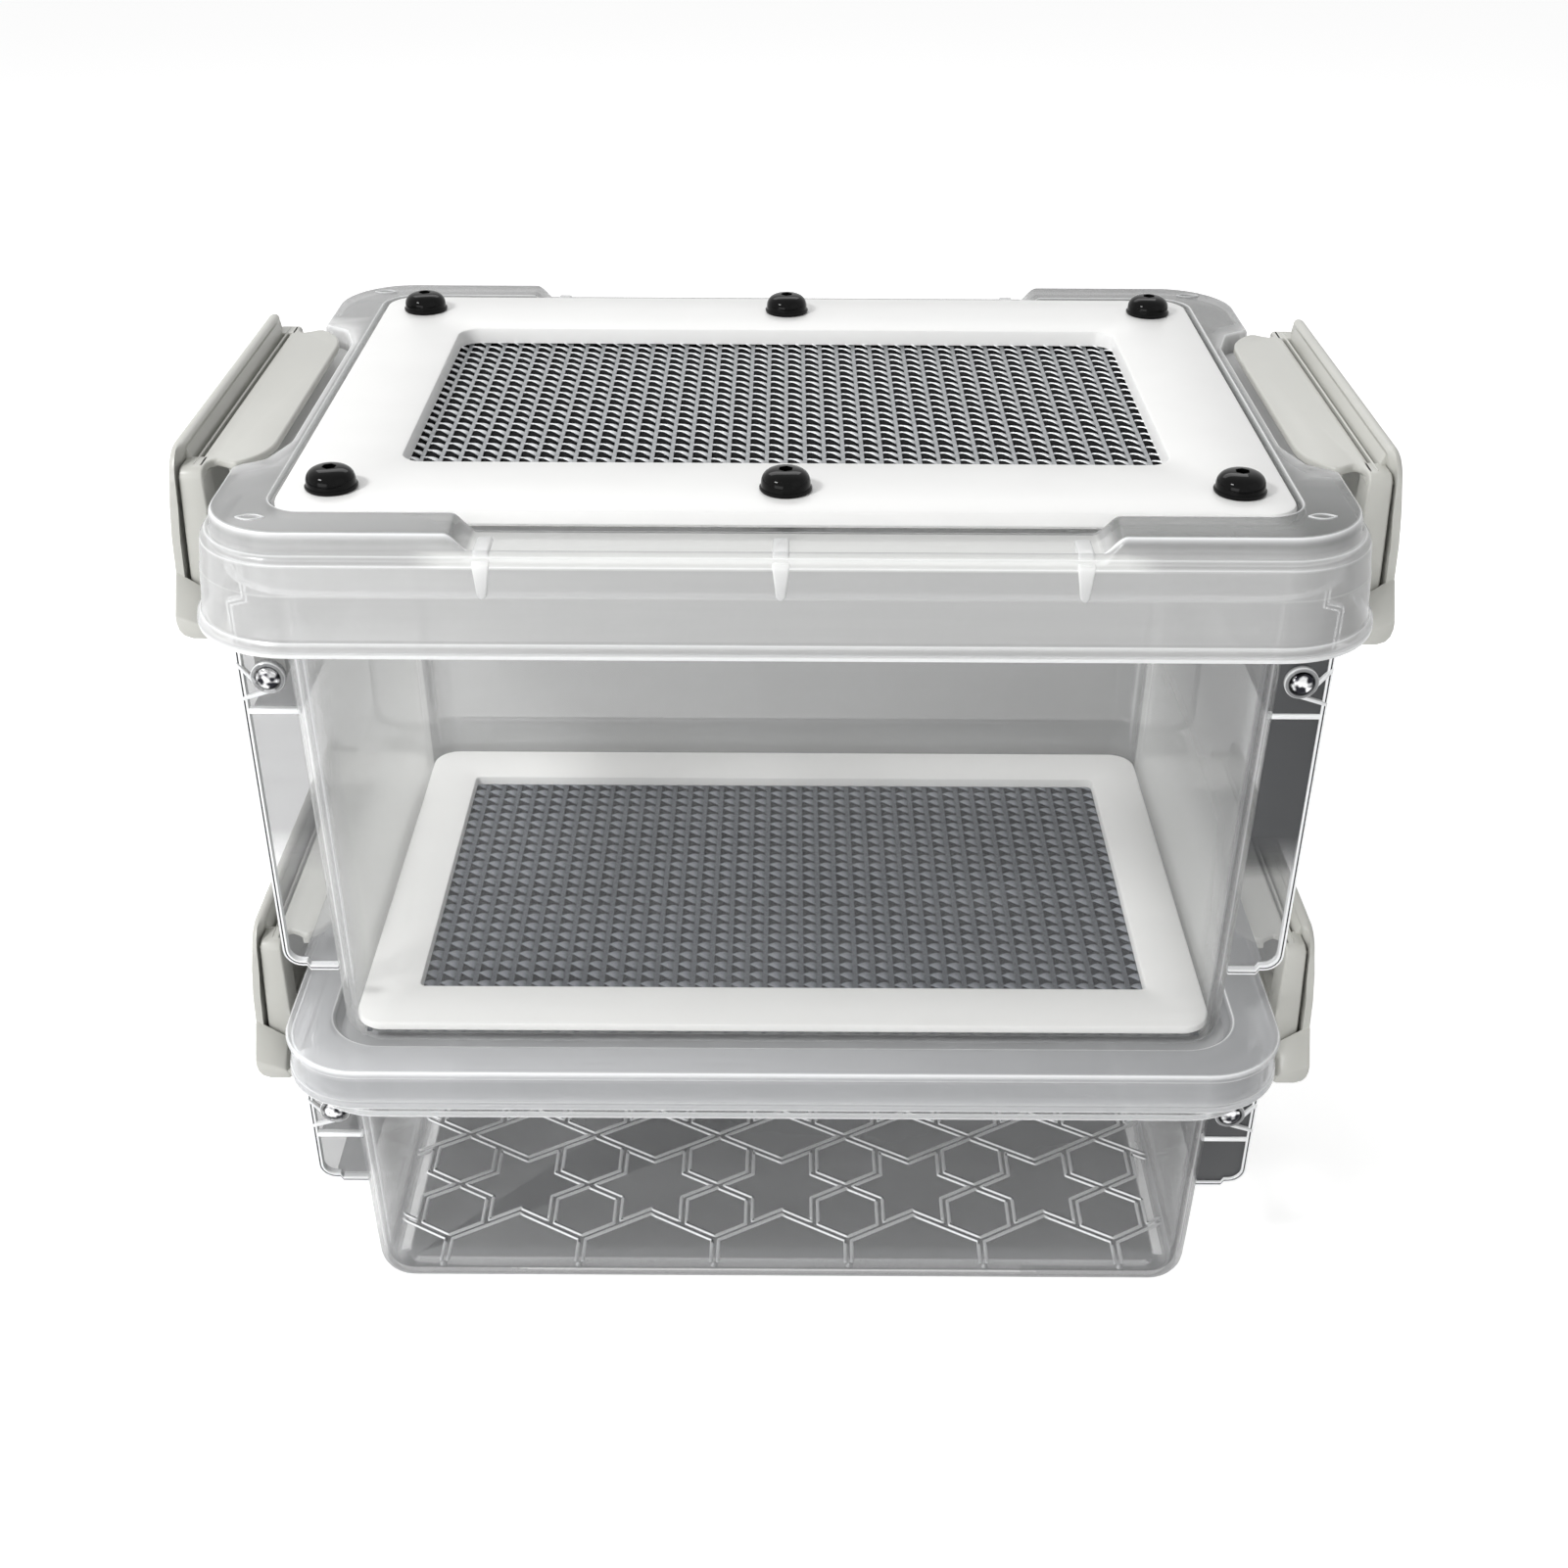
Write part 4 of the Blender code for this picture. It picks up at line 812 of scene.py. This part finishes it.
# The upper box is the deeper moulding. Its floor is cut out inside a ledge for the net.
UPPER_BASE_Z = 0.0896
UPPER_HEIGHT = 0.1526
UPPER_PIVOT_Z = 0.2000
UPPER_SKIRT_Z = 0.2229
upper_box = box_skin("upper_box_shell", UPPER_BASE_Z, UPPER_HEIGHT, (0.1060, 0.0630))
dress_box([upper_box], "upper_box_shell", UPPER_BASE_Z, UPPER_HEIGHT, 0.0210, UPPER_PIVOT_Z, UPPER_SKIRT_Z,
          "upper_box", "upper_box", wall_haze_and_shade)

# The floor net is a sheet of grey metal, slit and pressed so that each slit opens behind a small
# scoop, with a strap between the columns. A dark sheet under it is painted shade, standing for the unlit depth of its
# slits.
def scoop_net(pen, given):
    """Scoops on a grid of points, thin at the left and full at the right, with a strap beside each."""
    pitch_x = given["Pitch X"]
    pitch_y = given["Pitch Y"]
    scoop = pen.node("GeometryNodeMeshGrid", inputs={
        "Size X": 1.0, "Size Y": 1.0, "Vertices X": 8, "Vertices Y": 3})
    place = pen.node("GeometryNodeInputPosition")
    run = pen.node("ShaderNodeSeparateXYZ", inputs={0: place}, output=0) + 0.5
    across = pen.node("ShaderNodeSeparateXYZ", inputs={0: place}, output=1)
    bulge = pen.maths("SINE", (run * 0.75 + 0.25) * math.pi)
    width = given["Thin"] + (given["Full"] - given["Thin"]) * pen.maths("SINE", run * (0.62 * math.pi))
    x = (pitch_x - given["Strap"]) * (run - 0.5)
    y = pitch_y * (width * across - run ** 2 * given["Sweep"])
    z = given["Rise"] * bulge * (0.7 - across * 0.6)
    bent = pen.node("GeometryNodeSetPosition", inputs={"Geometry": scoop, "Position": combine(pen, x, y, z)})
    grid = pen.node("GeometryNodeMeshGrid", inputs={
        "Size X": given["Width"], "Size Y": given["Depth"], "Vertices X": given["Columns"],
        "Vertices Y": given["Rows"]})
    scoops = pen.node("GeometryNodeInstanceOnPoints", inputs={"Points": grid, "Instance": bent})
    line = pen.node("GeometryNodeMeshGrid", inputs={
        "Size X": given["Strap"], "Size Y": given["Depth"] + pitch_y, "Vertices X": 3, "Vertices Y": 2})
    columns = pen.node("GeometryNodeMeshGrid", inputs={
        "Size X": given["Width"] + pitch_x, "Size Y": 0.0, "Vertices X": given["Columns"] + 1, "Vertices Y": 1})
    straps = pen.node("GeometryNodeInstanceOnPoints", inputs={"Points": columns, "Instance": line})
    return together(pen, [scoops, straps])


def make_net(name, node, body, material, slit_shade_material, columns, rows, shape, sheet, z):
    """The net and the dark sheet of painted shade under it."""
    sizes = dict(shape, Columns=columns, Rows=rows, Width=(columns - 1) * shape["Pitch X"],
                 Depth=(rows - 1) * shape["Pitch Y"])
    item = grown(name, scoop_net, sizes, material)
    item.data.transform(Matrix.Translation((0, 0, z)))
    thicken(item, 0.0003)
    item.data.materials.clear()
    item.data.materials.append(material)
    smooth(item, math.radians(50))
    half_x, half_y = sheet
    corners = [(-half_x, -half_y), (half_x, -half_y), (half_x, half_y), (-half_x, half_y)]
    # The dark sheet is painted shade under the slits.
    under = slab(name + "_depth", corners, z - 0.0008, z - 0.0005, 2, 0)
    under.data.materials.append(slit_shade_material)
    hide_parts(node)
    for piece in (item, under):
        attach(piece, body)


def wire_finish(name, dark, bright, low_z, roughness, metallic):
    """Grey metal, with painted shade on the flat straps at low_z and painted light that makes it brighter towards the
    top of the scoops.
    """
    item, pen, shader = finish(name, {"Metallic": metallic})
    place = pen.node("ShaderNodeTexCoord", output=3)
    grain = pen.node("ShaderNodeTexNoise", inputs={"Vector": place, "Scale": 700.0, "Detail": 4.0})
    raised = (pen.node("ShaderNodeSeparateXYZ", inputs={0: place}, output=2) - low_z - 0.00025) * 1600.0
    # Painted light and shade by height: dark low down, bright at the crests.
    feed(shader, "Base Color", pen.mix(raised + (grain - 0.5) * 0.4, dark, bright))
    feed(shader, "Roughness", roughness + grain * 0.2)
    return item


def slit_shade_finish(name, dark, pale):
    """Painted shade: a dark sheet that stands for the unlit depth under a net's slits. Light passes it on its way to
    the inside of the box.
    """
    item, pen, shader = finish(name, {"Roughness": 0.8, "Specular IOR Level": 0.1})
    place = pen.node("ShaderNodeTexCoord", output=3)
    grain = pen.node("ShaderNodeTexNoise", inputs={"Vector": place, "Scale": 300.0, "Detail": 2.0})
    feed(shader, "Base Color", pen.mix(grain, dark, pale))
    feed(shader, "Alpha", 1.0 - inward(pen) * 0.85)
    return item


FLOOR_NET_Z = 0.0926
floor_wire = wire_finish("floor_wire", (0.075, 0.083, 0.097, 1), (0.34, 0.36, 0.40, 1), FLOOR_NET_Z, 0.30, 0.5)
floor_depth = slit_shade_finish("floor_depth", (0.004, 0.004, 0.008, 1), (0.010, 0.011, 0.016, 1))
FLOOR_SCOOPS = {"Pitch X": 0.0052, "Pitch Y": 0.0048, "Rise": 0.0007, "Strap": 0.0014, "Thin": 0.02,
                "Full": 0.74, "Sweep": 0.10}
make_net("floor_net", "floor_mesh", "upper_box", floor_wire, floor_depth, 44, 31, FLOOR_SCOOPS,
         (0.1155, 0.0722), FLOOR_NET_Z)

# The floor frame is white sheet plastic with a square window, glued down on the net.
def white_finish(name, dark, bright):
    """White plastic sheet with a faint grain."""
    item, pen, shader = finish(name, {"Coat Roughness": 0.3})
    place = pen.node("ShaderNodeTexCoord", output=3)
    grain = pen.node("ShaderNodeTexNoise", inputs={"Vector": place, "Scale": 60.0, "Detail": 5.0})
    feed(shader, "Base Color", pen.mix(grain, dark, bright))
    feed(shader, "Roughness", 0.30 + grain * 0.15)
    feed(shader, "Normal", pen.node("ShaderNodeBump", inputs={"Height": grain, "Strength": 0.05, "Distance": 0.0003}))
    return item


def sheet_frame(name, outer, inner, low, high, round_by, material):
    """A flat frame with a window and softened edges."""
    rings = []
    for half_x, half_y, radius, z in (
        (outer[0] - round_by, outer[1] - round_by, outer[2] - round_by, low),
        (outer[0], outer[1], outer[2], low + round_by),
        (outer[0], outer[1], outer[2], high - round_by),
        (outer[0] - round_by * 0.3, outer[1] - round_by * 0.3, outer[2] - round_by * 0.3, high - round_by * 0.3),
        (outer[0] - round_by, outer[1] - round_by, outer[2] - round_by, high),
        (inner[0] + round_by, inner[1] + round_by, inner[2] + round_by, high),
        (inner[0] + round_by * 0.3, inner[1] + round_by * 0.3, inner[2] + round_by * 0.3, high - round_by * 0.3),
        (inner[0], inner[1], inner[2], high - round_by),
        (inner[0], inner[1], inner[2], low),
    ):
        rings.append(flat_ring(outline(half_x, half_y, radius, PLAIN_STATIONS, [0.015, 0.035]), z))
    item = skin(name, rings, [0.0] * len(rings), closed=True)
    tidy_normals(item.data)
    item.data.materials.append(material)
    smooth(item)
    return item


# The frame's white is set paler than the panel's: painted light for the inside of the box.
floor_frame = sheet_frame("floor_frame_sheet", (0.1185, 0.07525, 0.0080), (0.1027, 0.05775, 0.0015),
                          0.0932, 0.0962, 0.0008,
                          white_finish("frame_sheet", (0.93, 0.93, 0.91, 1), (0.97, 0.97, 0.95, 1)))
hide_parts("floor_frame")
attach(floor_frame, "upper_box")

# The upper lid is a deep clear moulding: a recess for the panel, a raised ring round it that is
# notched at the front and the back and cut down under the latches, and a stepped skirt with ribs.
RING_Z = 0.2507
RECESS_Z = 0.2445
NOTCH_Z = 0.2459
ZONE_Z = 0.2443
RING_STATIONS_X = [0.012, 0.040, 0.060, 0.068] + [0.0700 + 0.0007 * step for step in range(11)] + [0.085, 0.105]
RING_STATIONS_Y = [0.010, 0.030] + [0.0360 + 0.0014 * step for step in range(15)] + [0.062, 0.070]


def notch_depth(plan):
    """1 in the front and back notches of the ring, 0 outside them."""
    on_long_side = np.abs(plan[:, 1]) > 0.0815
    return np.where(on_long_side, 1 - ease(np.abs(plan[:, 0]), 0.0708, 0.0768), 0.0)


def zone_edge(plan):
    """X of the ring's outer edge where it is cut back for the latch plate."""
    return np.interp(np.abs(plan[:, 1]), (0.0385, 0.0410, 0.0500, 0.0520, 0.0552),
                     (0.1235, 0.1243, 0.1272, 0.1290, 0.1345))


def upper_lid_rings():
    """The upper side of the upper lid, from its window out to the lip of its skirt."""
    # Columns: half X, half Y, corner radius, height, painted edge light (1 for a painted highlight, -1 for a painted
    # dark line) and the part of the lid.
    table = (
        (0.0960, 0.0535, 0.0060, RECESS_Z, 1.0, "flat"),
        (0.0970, 0.0545, 0.0070, RECESS_Z, 0.2, "flat"),
        (0.1186, 0.0816, 0.0080, RECESS_Z, 0.1, "flat"),
        (0.1195, 0.0825, 0.0085, RECESS_Z + 0.0006, -0.6, "flat"),
        (0.1199, 0.0829, 0.0087, RING_Z - 0.0008, -0.2, "inner"),
        (0.1207, 0.0837, 0.0095, RING_Z, 0.9, "inner"),
        (0.1213, 0.0844, 0.0101, RING_Z - 0.0001, 0.0, "inner"),
        (0.1328, 0.0943, 0.0188, RING_Z - 0.0002, 0.0, "outer"),
        (0.1336, 0.0951, 0.0196, RING_Z - 0.0005, 1.0, "outer"),
        (0.1341, 0.0956, 0.0201, RING_Z - 0.0014, 0.6, "outer"),
        (0.1343, 0.0958, 0.0203, 0.2466, -0.5, "foot"),
        (0.1349, 0.0964, 0.0209, 0.2457, 0.0, "foot"),
        (0.1356, 0.0971, 0.0216, 0.2455, 0.85, "shelf"),
        (0.1362, 0.0977, 0.0222, 0.2450, 0.0, "shelf"),
        (0.1366, 0.0981, 0.0226, 0.2444, -0.4, "skirt"),
        (0.1369, 0.0984, 0.0229, 0.2436, 0.8, "skirt"),
        (0.1371, 0.0986, 0.0231, 0.2429, 0.0, "skirt"),
        (0.1378, 0.0993, 0.0238, 0.2370, 0.0, "skirt"),
        (0.1380, 0.0995, 0.0240, 0.2366, 0.45, "skirt"),
        (0.1381, 0.0996, 0.0241, 0.2360, 0.0, "skirt"),
        (0.1389, 0.1004, 0.0249, 0.2264, 0.0, "skirt"),
        (0.1391, 0.1006, 0.0251, 0.2259, -0.5, "skirt"),
        (0.1394, 0.1009, 0.0254, 0.2255, 0.9, "skirt"),
        (0.1401, 0.1016, 0.0261, 0.2249, 0.2, "skirt"),
        (0.1404, 0.1019, 0.0264, 0.2238, -0.6, "skirt"),
        (0.1405, 0.1020, 0.0265, 0.2230, 0.9, "skirt"),
        (0.1403, 0.1018, 0.0263, 0.2221, 0.9, "skirt"),
    )
    rings = []
    painted_edge_light = []
    for half_x, half_y, radius, z, share, part in table:
        plan = outline(half_x, half_y, radius, RING_STATIONS_X, RING_STATIONS_Y)
        level = np.full(len(plan), z)
        side = np.sign(plan[:, 0])
        reach = np.abs(plan[:, 0])
        cut = zone_edge(plan)
        in_zone = (np.abs(plan[:, 1]) < 0.0560) & (reach > 0.1215)
        if part == "inner" or part == "outer":
            level = level - notch_depth(plan) * (z - NOTCH_Z)
        # In the notches the ring's top edge is painted black instead of white: a painted shadow under the panel's
        # front edge.
        if part == "inner" and share > 0.5:
            share = share - notch_depth(plan) * (share + 0.9)
        if part == "outer":
            pull = 0.1341 - half_x
            reach = np.where(in_zone, np.minimum(reach, cut - pull), reach)
        if part == "foot":
            reach = np.where(in_zone, np.minimum(reach, cut + 0.0002 + (half_x - 0.1343)), reach)
        if part in ("foot", "shelf"):
            drop = 1 - ease(np.abs(plan[:, 1]), 0.0535, 0.0575)
            level = np.where(in_zone, level - drop * np.maximum(level - ZONE_Z, 0), level)
        rings.append(np.column_stack((side * reach, plan[:, 1], level)))
        painted_edge_light.append(share)
    return rings, painted_edge_light


def lid_haze_and_shade(x, y, z):
    """Paler at both ends of the skirt and in the notches, denser on the ring. Painted shade makes it denser and
    darker towards the right, most beside the latches and on the ring.
    """
    ring = ease(z, 0.2465, 0.2500)
    right = x / RIM_HALF_X
    beside_latch = (np.abs(x) > 0.1215) & (np.abs(y) < 0.0560) & (z > 0.2420)
    return np.where(beside_latch, 0.15 + 0.3 * right, 0.52 - 0.10 * right ** 2 + ring * (0.48 + 0.12 * right))


def finger_rib(x, end):
    """A rib on the skirt that tapers to a round tip, and its short block on the notch above."""
    tip = [(0.0012 * math.cos(angle), -0.0016 * math.sin(angle)) for angle in np.linspace(0, math.pi, 9)]
    tongue = [(x + dx, 0.2379 + dz) for dx, dz in tip] + [(x - 0.0021, 0.2449), (x + 0.0021, 0.2449)]
    # The rib and its block are painted whitish: a painted highlight.
    rib = slab("rib", tongue, end * 0.0964, end * 0.0990, 1, 0.0005, 0.6, 3)
    for vertex in rib.data.vertices:
        vertex.co.y += end * 0.15 * (0.2446 - vertex.co.z)
    block = [(x - 0.0019, end * 0.0885), (x + 0.0019, end * 0.0885), (x + 0.0019, end * 0.0970),
             (x - 0.0019, end * 0.0970)]
    return [rib, slab("rib", block, 0.2450, 0.2470, 2, 0.0006, 0.6, 3)]


def lens_mark(x, y):
    """A thin lens-shaped mark of an ejector pin on the ring."""
    reach = 0.0034
    bow = 0.0015
    steps = np.linspace(-1, 1, 9)
    front = [(x + reach * t, y - bow * (1 - t * t)) for t in steps]
    back = [(x + reach * t, y + bow * (1 - t * t)) for t in reversed(steps[1:-1])]
    inner = 0.88
    rings = []
    for share, z in ((1.0, RING_Z - 0.0004), (1.0, RING_Z + 0.0001), (inner, RING_Z + 0.0001), (inner, RING_Z - 0.0004)):
        rings.append([(x + (px - x) * share, y + (py - y) * share, z) for px, py in front + back])
    # The mark is painted nearly white: a painted highlight.
    item = skin("mark", rings, [0.85] * 4, closed=True)
    tidy_normals(item.data)
    return item


upper_lid = skin("upper_lid_shell", *upper_lid_rings())
thicken(upper_lid, 0.0018)
details = [finger_rib(x, end) for x in (-0.0685, -0.0010, 0.0677) for end in (-1, 1)]
marks = [lens_mark(x, y) for x, y in ((-0.1221, -0.0870), (0.1232, -0.0834), (-0.1221, 0.0870), (0.1221, 0.0870))]
upper_lid = join([upper_lid] + [piece for pair in details for piece in pair] + marks, "upper_lid_shell")
upper_lid.data.materials.clear()
upper_lid.data.materials.append(clear_lid)
set_share(upper_lid, "haze", lid_haze_and_shade)
# Painted light on the notch floors at the front and back makes them paler and lets them shine faintly.
set_share(upper_lid, "pale", lambda x, y, z: 0.5 * (
    (z > 0.2435) & (z < 0.2462) & (np.abs(y) > 0.0840) & (np.abs(x) < 0.0800)))
smooth(upper_lid, math.radians(40))
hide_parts("upper_lid")
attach(upper_lid, "upper_lid")

# The lid net lies on the lid under the panel, and shows bright through the panel's window.
LID_NET_Z = 0.2456
lid_wire = wire_finish("lid_wire", (0.22, 0.23, 0.24, 1), (0.92, 0.93, 0.95, 1), LID_NET_Z, 0.25, 0.30)
lid_depth = slit_shade_finish("lid_depth", (0.004, 0.004, 0.005, 1), (0.012, 0.012, 0.013, 1))
LID_SCOOPS = {"Pitch X": 0.0048, "Pitch Y": 0.0048, "Rise": 0.0008, "Strap": 0.0010, "Thin": 0.02,
              "Full": 0.47, "Sweep": 0.28}
make_net("lid_net", "lid_mesh", "upper_lid", lid_wire, lid_depth, 42, 25, LID_SCOOPS,
         (0.1022, 0.0600), LID_NET_Z)

# The panel is a white sheet with a rounded window, screwed down over the net.
panel = sheet_frame("lid_panel_sheet", (0.11925, 0.08225, 0.0080), (0.09385, 0.0515, 0.0055),
                    0.2463, 0.2507, 0.0010,
                    white_finish("panel_sheet", (0.84, 0.84, 0.83, 1), (0.89, 0.89, 0.88, 1)))
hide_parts("lid_panel")
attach(panel, "upper_lid")

# Six steel screws with domed heads, coated glossy black, hold the panel. Each has a hex socket.
black, pen, shader = finish("black_steel", {"IOR": 1.22})
place = pen.node("ShaderNodeTexCoord", output=3)
grain = pen.node("ShaderNodeTexNoise", inputs={"Vector": place, "Scale": 500.0, "Detail": 3.0})
feed(shader, "Base Color", pen.mix(grain, (0.001, 0.001, 0.001, 1), (0.004, 0.004, 0.004, 1)))
feed(shader, "Roughness", 0.03 + grain * 0.04)
PANEL_TOP_Z = 0.2507


def dome_screw(name, x, y):
    """Shank, thin flange and domed head, with the socket cut in its top."""
    dome = [(0.0059 * math.cos(angle) ** 0.68, 0.0008 + 0.0042 * math.sin(angle) ** 0.68)
            for angle in np.radians(np.linspace(0, 88, 18))]
    profile = [(0.0023, -0.0140), (0.0023, -0.0001), (0.0061, -0.0001), (0.0063, 0.0002), (0.0063, 0.0005),
               (0.0060, 0.0008)] + dome
    item = turned(name, profile, (x, y, PANEL_TOP_Z + 0.0002), 2, 1, 48)
    socket = [(x + 0.0018 * math.cos(angle), y + 0.0018 * math.sin(angle))
              for angle in np.linspace(0, 2 * math.pi, 6, endpoint=False) + 0.4]
    cutter = slab("socket", socket, PANEL_TOP_Z + 0.0032, PANEL_TOP_Z + 0.0080, 2, 0)
    step = item.modifiers.new("socket", "BOOLEAN")
    step.operation = "DIFFERENCE"
    step.solver = "EXACT"
    step.object = cutter
    settle(item)
    bpy.data.objects.remove(cutter)
    return item


for number in range(1, 7):
    node_name = "lid_screw_%d" % number
    corners = [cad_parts[node_name].matrix_world @ Vector(corner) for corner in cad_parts[node_name].bound_box]
    middle = sum(corners, Vector()) / len(corners)
    screw = dome_screw(node_name + "_dome", middle.x, middle.y)
    screw.data.materials.append(black)
    smooth(screw)
    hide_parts(node_name)
    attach(screw, "upper_lid")

# The four latches are thick mouldings in warm light grey plastic. Each is a hook with a rolled
# lip, a flat plate that lies on the lid, two cheeks and a heel that turns on its two pins.
latch_plastic, pen, shader = finish("latch_plastic", {"Coat Weight": 0.15, "Coat Roughness": 0.25})
place = pen.node("ShaderNodeTexCoord", output=3)
grain = pen.node("ShaderNodeTexNoise", inputs={"Vector": place, "Scale": 45.0, "Detail": 5.0})
feed(shader, "Base Color", pen.mix(grain, (0.50, 0.50, 0.465, 1), (0.57, 0.57, 0.535, 1)))
feed(shader, "Roughness", 0.32 + grain * 0.15)
LATCH_HALF = 0.0580
CHEEK_Y = 0.0568
HEEL_Y = 0.0653


def wall_inside(z):
    """X of the inner side of the latch's outer wall, which leans in towards its top."""
    return 0.0204 - (z - 0.0150) * 0.048


def hook_wall(place):
    """The outer wall and its rolled lip, drawn as sections along the latch with rounded ends."""
    bead = [(0.0184 + 0.0015 * math.cos(angle), 0.0535 + 0.0013 * math.sin(angle))
            for angle in np.linspace(math.radians(170), math.radians(20), 7)]
    section = bead + [
        (0.0209, 0.0460), (0.0217, 0.0370), (0.0221, 0.0270), (0.0225, 0.0150), (0.0217, 0.0112),
        (0.0190, 0.0095), (0.0190, 0.0130), (0.0204, 0.0150), (0.0201, 0.0270), (0.0197, 0.0370),
        (0.0189, 0.0460), (0.0176, 0.0510)]
    rounding = 0.0085
    straight = LATCH_HALF - rounding
    turns = np.radians(np.linspace(0, 84, 13))
    ends = [(straight + rounding * math.sin(turn), rounding * (1 - math.cos(turn))) for turn in turns]
    stations = [(-y, drop) for y, drop in reversed(ends)] + ends
    rings = []
    for y, drop in stations:
        squeeze = 1 - drop / (0.0548 - 0.0090)
        thin = ease(abs(y), 0.0505, 0.0545)
        ring = []
        for x, z in section:
            x += thin * max(wall_inside(z) - x, 0)
            ring.append(place(x, y, 0.0090 + (z - 0.0090) * squeeze))
        rings.append(ring)
    item = skin("hook", rings, [0.0] * len(rings), cap_start=True, cap_end=True)
    tidy_normals(item.data)
    return item


def plate_plan():
    """Half of the plate's plan, from its middle to the pocket in its corner."""
    curve = [(-0.0020, 0.0370), (-0.0017, 0.0405), (-0.0008, 0.0440), (0.0008, 0.0472), (0.0030, 0.0500),
             (0.0050, 0.0518)]
    pocket = [(0.0066, 0.0516), (0.0085, 0.0502), (0.0100, 0.0494), (0.0112, 0.0500), (0.0119, 0.0516),
              (0.0122, 0.0546), (0.0138, 0.0546)]
    return curve + pocket


def latch(node, side, pivot_z):
    def place(x, y, z):
        return (side * (PIVOT_X + x), y, pivot_z + z)

    def plan(points):
        return [(side * (PIVOT_X + x), y) for x, y in points]

    def section(points):
        return [(side * (PIVOT_X + x), pivot_z + z) for x, z in points]

    half = plate_plan()
    whole = half + [(x, -y) for x, y in reversed(half)]
    pieces = [hook_wall(place)]
    pieces.append(slab("plate", plan(whole), pivot_z + 0.0478, pivot_z + 0.0500, 2, 0.0007, 0.0, 3))
    under = [(0.0120, -0.0543), (0.0198, -0.0543), (0.0198, 0.0543), (0.0120, 0.0543)]
    pieces.append(slab("under", plan(under), pivot_z + 0.0466, pivot_z + 0.0474, 2, 0))
    slope = [(0.0160, 0.0470), (0.0160, 0.0494), (0.0164, 0.0504), (0.0175, 0.0536), (0.0186, 0.0536),
             (0.0194, 0.0470)]
    pieces.append(slab("slope", section(slope), -0.0495, 0.0495, 1, 0.0003))
    ridge = [(0.0145, 0.0470), (0.0145, 0.0499), (0.0148, 0.0502), (0.0151, 0.0499), (0.0151, 0.0470)]
    pieces.append(slab("ridge", section(ridge), -0.0535, 0.0535, 1, 0))
    nib = [(0.0055, 0.0456), (0.0073, 0.0456), (0.0073, 0.0480), (0.0055, 0.0480)]
    pieces.append(slab("nib", section(nib), -0.0505, 0.0505, 1, 0.0003))
    heel = [(-0.0028, 0.0114), (0.0183, 0.0114), (0.0207, 0.0118), (0.0203, 0.0099), (0.0180, 0.0090),
            (0.0040, 0.0090)]
    heel += [(0.0040 * math.cos(angle), 0.0040 * math.sin(angle)) for angle in np.linspace(0, -math.pi, 13)]
    pieces.append(slab("heel", section(heel), -HEEL_Y, HEEL_Y, 1, 0.0004))
    fold = 0.0028
    for end in (-1, 1):
        bend = [(end * (CHEEK_Y - fold + fold * math.cos(angle)), pivot_z + 0.0472 + fold * math.sin(angle))
                for angle in np.linspace(0, math.pi / 2, 8)]
        back = [(end * 0.0480, pivot_z + 0.0500), (end * 0.0480, pivot_z + 0.0140)]
        cheek = [(end * CHEEK_Y, pivot_z + 0.0140)] + bend + back
        xs = sorted((side * (PIVOT_X + 0.0121), side * (PIVOT_X + 0.0195)))
        face = slab("cheek", cheek, xs[0], xs[1], 0, 0.0006, 0.0, 3)
        for vertex in face.data.vertices:
            if side * vertex.co.x > PIVOT_X + 0.0160:
                vertex.co.x -= side * (vertex.co.z - pivot_z - 0.0150) * 0.048
        pieces.append(face)
        near = [(0.0223, 0.0240), (0.0136, 0.0178), (0.0123, 0.0112), (0.0123, 0.0088), (0.0181, 0.0088),
                (0.0207, 0.0097), (0.0222, 0.0119), (0.0226, 0.0160)]
        far = [(0.0217, 0.0150), (0.0136, 0.0120), (0.0123, 0.0102), (0.0123, 0.0088), (0.0181, 0.0088),
               (0.0203, 0.0096), (0.0213, 0.0110), (0.0217, 0.0128)]
        rings = [[(x, end * y, z) for x, z in section(line)]
                 for line, y in ((near, LATCH_HALF - 0.0004), (far, HEEL_Y + 0.0003))]
        wedge = skin("block", rings, [0.0, 0.0], cap_start=True, cap_end=True)
        tidy_normals(wedge.data)
        soften(wedge, 0.0005, 2)
        pieces.append(wedge)
    item = join(pieces, node + "_handle")
    item.data.materials.clear()
    item.data.materials.append(latch_plastic)
    smooth(item)
    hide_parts(node)
    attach(item, node)


for level, pivot_z in (("lower", LOWER_PIVOT_Z), ("upper", UPPER_PIVOT_Z)):
    for hand, side in (("left", -1), ("right", 1)):
        latch("%s_latch_%s" % (level, hand), side, pivot_z)
